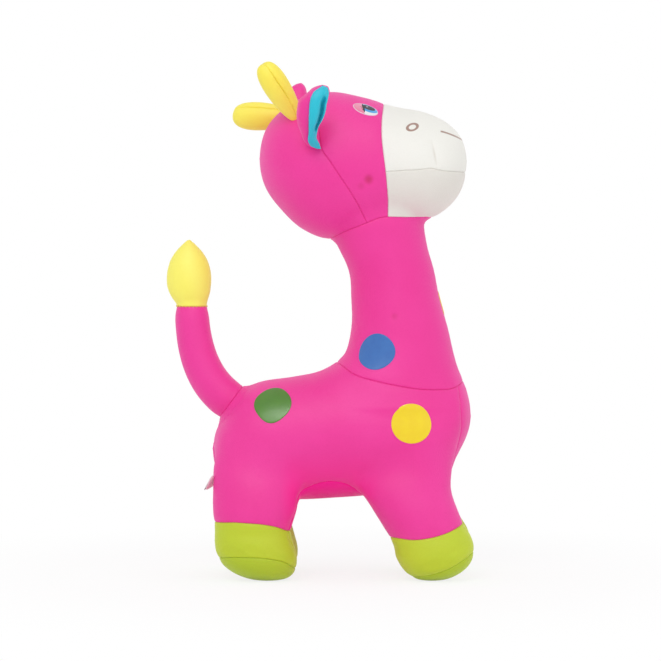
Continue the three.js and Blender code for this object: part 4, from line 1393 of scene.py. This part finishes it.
def filmPiece(name, inside, way, ahead, size, roll, square, paint, slot, node):
    centre = onSkin(inside, way)
    normal = unit(slopeOf(centre, toyForm))[0]
    ahead = unit(np.array(ahead, float) - (np.array(ahead) @ normal) * normal)
    up = np.cross(normal, ahead)
    up = up if up[2] > 0 else -up
    cosine, sine = math.cos(math.radians(roll)), math.sin(math.radians(roll))
    ahead, up = cosine * ahead - sine * up, sine * ahead + cosine * up
    rimShares, rimLifts = np.array(filmLook["rim"]).T
    shares = np.linspace(0, filmLook["flat"], filmLook["rings"])[1:]
    shares = np.concatenate([shares, rimShares])
    turns = np.linspace(0, 2 * np.pi, filmLook["sides"], endpoint=False)
    corners, turned = filmLook["corners"]
    wobble = 1 + square * np.cos(corners * turns + turned)
    u = (shares[:, None] * np.cos(turns) * wobble).ravel()
    v = (shares[:, None] * np.sin(turns) * wobble).ravel()
    u, v = np.append(u, 0), np.append(v, 0)
    lift = np.full(len(shares), filmLook["thick"])
    lift[-len(rimLifts) :] = filmLook["thick"] * rimLifts
    lift = np.append(np.repeat(lift, filmLook["sides"]), filmLook["thick"])
    points = centre + u[:, None] * ahead * size[0] / 2 + v[:, None] * up * size[1] / 2
    points = settle(points, toyForm, 4)
    points = points + lift[:, None] * unit(slopeOf(points, toyForm))
    ring = np.arange(filmLook["sides"])
    fan = np.stack([np.full(len(ring), len(points) - 1), ring, np.roll(ring, -1)], 1)
    faces = np.vstack([gridFaces(len(shares), filmLook["sides"]), fan[:, ::-1]])
    if meshNormals(points, faces)[-1] @ normal < 0:
        faces = faces[:, ::-1]
    piece = addPiece(name, points, faces, paint, np.stack([u, v], 1) / 2 + 0.5)
    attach(piece, "body")
    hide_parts(node)


eyePrint = eyePaint()
greenFilm = filmPaint("greenFilm", hue(76, 132, 30), hue(66, 120, 26))
blueFilm = filmPaint("blueFilm", hue(54, 114, 186), hue(44, 100, 176))
yellowFilm = filmPaint("yellowFilm", hue(242, 214, 10), hue(238, 204, 6))
films = [  # piece, place in side view, size, how far it rolls, how square it is, print, slot, solid
    ("eye", (30.7, 313.6), (17.6, 11.2), 21, 0.0, eyePrint, "eye_print", "eye"),
    ("hipSpot", (-31.2, 118.3), (24.8, 30.0), 0, 0.035, greenFilm, "green_print", "hip_spot"),
    ("chestSpot", (61.0, 105.0), (26.8, 26.8), 0, 0.0, yellowFilm, "yellow_print", "chest_spot"),
    ("neckSpot", (37.7, 152.3), (27.0, 24.3), 0, 0.02, blueFilm, "blue_print", "neck_spot"),
]
for kind, (x, z), *rest, node in films:
    for sideName, side in bothSides:
        name = kind + sideName.capitalize()
        filmPiece(name, (x, 0, z), (0, side, 0), (1, 0, 0), *rest, f"{node}_{sideName}")
throat = {"inside": (58, 8.6, 183.6), "size": (20.0, 20.0)}  # a spot on the front of the neck
filmPiece(
    "throatSpot", throat["inside"], (1, 0, 0), (0, 1, 0), throat["size"],
    0, 0.0, yellowFilm, "yellow_print", "throat_spot",
)
print("films pressed on")

# Stitches where the tuft is sewn on the tail
stitch = {
    "count": 26,
    "ring": 12.0,  # radius of the ring that they start from
    "long": 1.3,
    "thick": 0.24,
    "fibre": 2500.0,  # scale of the thread's fibre
    "slant": 0.35,
    "sunk": (0.15, 0.35),  # how deep its middle lies, and how much deeper its ends
    "rows": 9,
    "sides": 8,
}
turns = np.linspace(0, 2 * np.pi, stitch["count"], endpoint=False)
level = np.full(len(turns), tailEnd[1])
ringX, ringY = stitch["ring"] * np.cos(turns), stitch["ring"] * np.sin(turns)
seats = settle(np.stack([tailEnd[0] + ringX, ringY, level], 1), toyForm, 4)
outs = unit(slopeOf(seats, toyForm))
points, faces = [], []
for seat, out in zip(seats, outs):
    level = unit(np.cross(out, (0, 0, 1)))
    along = unit(np.cross(level, out) + stitch["slant"] * level)
    across = np.cross(along, out)
    rings = []
    for t in np.linspace(-1, 1, stitch["rows"]):
        half = stitch["thick"] * math.sqrt(max(1 - t**4, 0.02))
        deep = stitch["sunk"][0] + stitch["sunk"][1] * t * t
        middle = seat + along * t * stitch["long"] / 2 - out * deep
        rings.append(ovalRing(middle, across * half, out * half, stitch["sides"]))
    faces.append(gridFaces(len(rings), stitch["sides"]) + sum(map(len, points)))
    points.append(np.vstack(rings))
threadPaint = Paint("yellowThread")
threadWhere, _ = threadPaint.place()
threadFibre = threadPaint.noise(threadWhere, stitch["fibre"], 3.0)
threadColour = threadPaint.mix(threadFibre, hue(214, 190, 70), hue(250, 236, 130))
thread = threadPaint.finish({"Base Color": threadColour, "Roughness": 0.7})
points, faces = np.vstack(points), np.vstack(faces)
stitches = addPiece("tuftStitches", points, outward(points - points.mean(0), faces), thread)
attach(stitches, "tail")

# Care label: a blank ribbon folded into a loop and sewn into the seam behind the right hind leg
label = {
    "root": (-69.9, -23.3, 66.6),
    "length": 8.9,
    "width": 15.0,
    "drop": 46.0,
    "twist": (-26.0, -5.0),  # degrees, where it is sewn in and at its fold
    "gap": 0.36,
    "thick": 0.2,
    "buried": 1.6,
    "wave": (0.2, 5.0, 0.25),  # its height, and how fast it runs across and along
    "rib": 0.45,
    "ribDepth": 0.01,
    "patch": 300.0,  # scale of its unevenness
    "bend": 3.0,  # a length outward from its root
    "rows": 14,
    "turnRows": 13,
    "columns": 13,
}
labelPaint = Paint("labelRibbon")
labelWhere, (x, y, z) = labelPaint.place()
ribTurn = 2 * math.pi / label["rib"]
ribs = (y * ribTurn).sine() * (z * ribTurn).sine()
labelShade = labelPaint.noise(labelWhere, label["patch"])
ribbon = labelPaint.finish(
    {
        "Base Color": labelPaint.mix(labelShade, hue(248, 226, 232), hue(252, 236, 240)),
        "Roughness": 0.5,
        "Normal": labelPaint.bump(ribs * label["ribDepth"], 0.2),
        "Sheen Weight": 0.2,
    }
)
gap, straight = label["gap"], label["length"] - label["gap"]
runs = np.linspace(-label["buried"], straight, label["rows"])
turns = np.linspace(-np.pi / 2, np.pi / 2, label["turnRows"])[1:-1]
under = [(s, -gap * (0.5 + 0.5 * s / straight)) for s in runs]
fold = [(straight + gap * math.cos(a), gap * math.sin(a)) for a in turns]
path = np.array(under + fold + [(s, -lift) for s, lift in under[::-1]])
drop = math.radians(label["drop"])
outWay = np.array([-math.cos(drop), 0, -math.sin(drop)])
upWay = np.array([-math.sin(drop), 0, math.cos(drop)])
sideWay = np.array([0, 1, 0])
across = np.linspace(-0.5, 0.5, label["columns"])
waveHeight, waveAcross, waveAlong = label["wave"]
sheet = []
for s, lift in path:
    share = min(max(s / straight, 0), 1)
    twist = math.radians(label["twist"][0] * (1 - share) + label["twist"][1] * share)
    acrossWay = math.cos(twist) * sideWay + math.sin(twist) * upWay
    liftWay = math.cos(twist) * upWay - math.sin(twist) * sideWay
    wave = waveHeight * np.sin(across * waveAcross + s * waveAlong) * share
    middle = np.array(label["root"]) + s * outWay
    sheet.append(middle + np.outer(lift + wave, liftWay) + np.outer(across * label["width"], acrossWay))
points = np.vstack(sheet)
labelFaces = gridFaces(len(path), len(across), wrapped=False)
careLabel = addPiece("careLabel", points, labelFaces, ribbon)
thickness = careLabel.modifiers.new("ribbon", "SOLIDIFY")
thickness.thickness = label["thick"] / 1000
thickness.offset = 0
root = np.array(label["root"])
end = root + label["bend"] * outWay
tuple(root / 1000)
tuple(end / 1000)
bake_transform(careLabel)
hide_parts("care_label")
run = float(np.linalg.norm(np.diff(path, axis=0), axis=1).sum())
labelFlat = (label["width"] / 1000, run / 1000)
print("label and stitches added")

# Floor, backdrop and light
lamps = {  # place, size, power, and whether it lights the toy or is only mirrored in it
    "key": ((-350, -1120, 1350), 800, 5.0, True),
    "fill": ((1100, -900, 500), 1200, 1.6, True),
    "shine": ((-50, -1100, 1400), 700, 7.0, False),
}
studio = {
    "aim": (0, 0, 170),  # what the lamps look at
    "world": 0.82,  # light of the backdrop on the toy; the camera sees it white
    "floor": hue(252, 252, 252),
    "floorHalf": 9000.0,
    "glow": (0.8, 1.0),  # how much of the floor is plain white to the camera, near and far off
    "middle": 10.0,  # how far ahead the floor's near part has its middle
    "near": 190.0,
    "fade": 160.0,
}
for name, (place, size, power, diffuse) in lamps.items():
    data = bpy.data.lights.new(name, "AREA")
    data.shape = "DISK"
    data.size = size / 1000
    data.energy = power
    lamp = bpy.data.objects.new(name, data)
    lamp.location = Vector(place) / 1000
    aimWay = Vector(place) - Vector(studio["aim"])
    lamp.rotation_euler = aimWay.to_track_quat("Z", "Y").to_euler()
    lamp.visible_diffuse = diffuse
    scene.collection.objects.link(lamp)


def seenBy(paint):  # 1 for the camera and for what mirrors or passes its view
    kinds = ("Is Camera Ray", "Is Glossy Ray", "Is Transmission Ray")
    rays = [paint.node("ShaderNodeLightPath", {}, {}, kind) for kind in kinds]
    return rays[0].most(rays[1]).most(rays[2])


scene.world = bpy.data.worlds.new("studio")
sky = Paint("studio", scene.world)
skyStrength = seenBy(sky) * (1.0 - studio["world"]) + studio["world"]
sky.finish({"Color": (1.0, 1.0, 1.0), "Strength": skyStrength})

floorPaint = Paint("paleFloor")
floorMaterial = floorPaint.finish({"Base Color": studio["floor"], "Roughness": 0.9})
_, (x, y, z) = floorPaint.place()
away = ((x - studio["middle"]) ** 2.0 + y**2.0) ** 0.5
far = ((away - studio["near"]) / studio["fade"]).held()
nearGlow, farGlow = studio["glow"]
glow = seenBy(floorPaint) * (nearGlow + far * (farGlow - nearGlow))
white = floorPaint.node("ShaderNodeEmission", {}, {"Color": (1.0, 1.0, 1.0), "Strength": 1.0})
plain = Wire(floorPaint, floorPaint.shader.outputs[0])
surface = floorPaint.node("ShaderNodeMixShader", {}, {0: glow, 1: plain, 2: white})
floorPaint.plug(floorPaint.tree.nodes["Material Output"].inputs["Surface"], surface)
half = studio["floorHalf"]
corners = [(-half, -half, 0), (half, -half, 0), (half, half, 0), (-half, half, 0)]
floor = addPiece("floor", corners, [(0, 1, 2, 3)], floorMaterial)
floor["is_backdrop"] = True
scene.view_settings.view_transform = "Standard"
print("studio lit")

low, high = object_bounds()
{"cad": [list(cadLow), list(cadHigh)], "visual": [list(low), list(high)]}
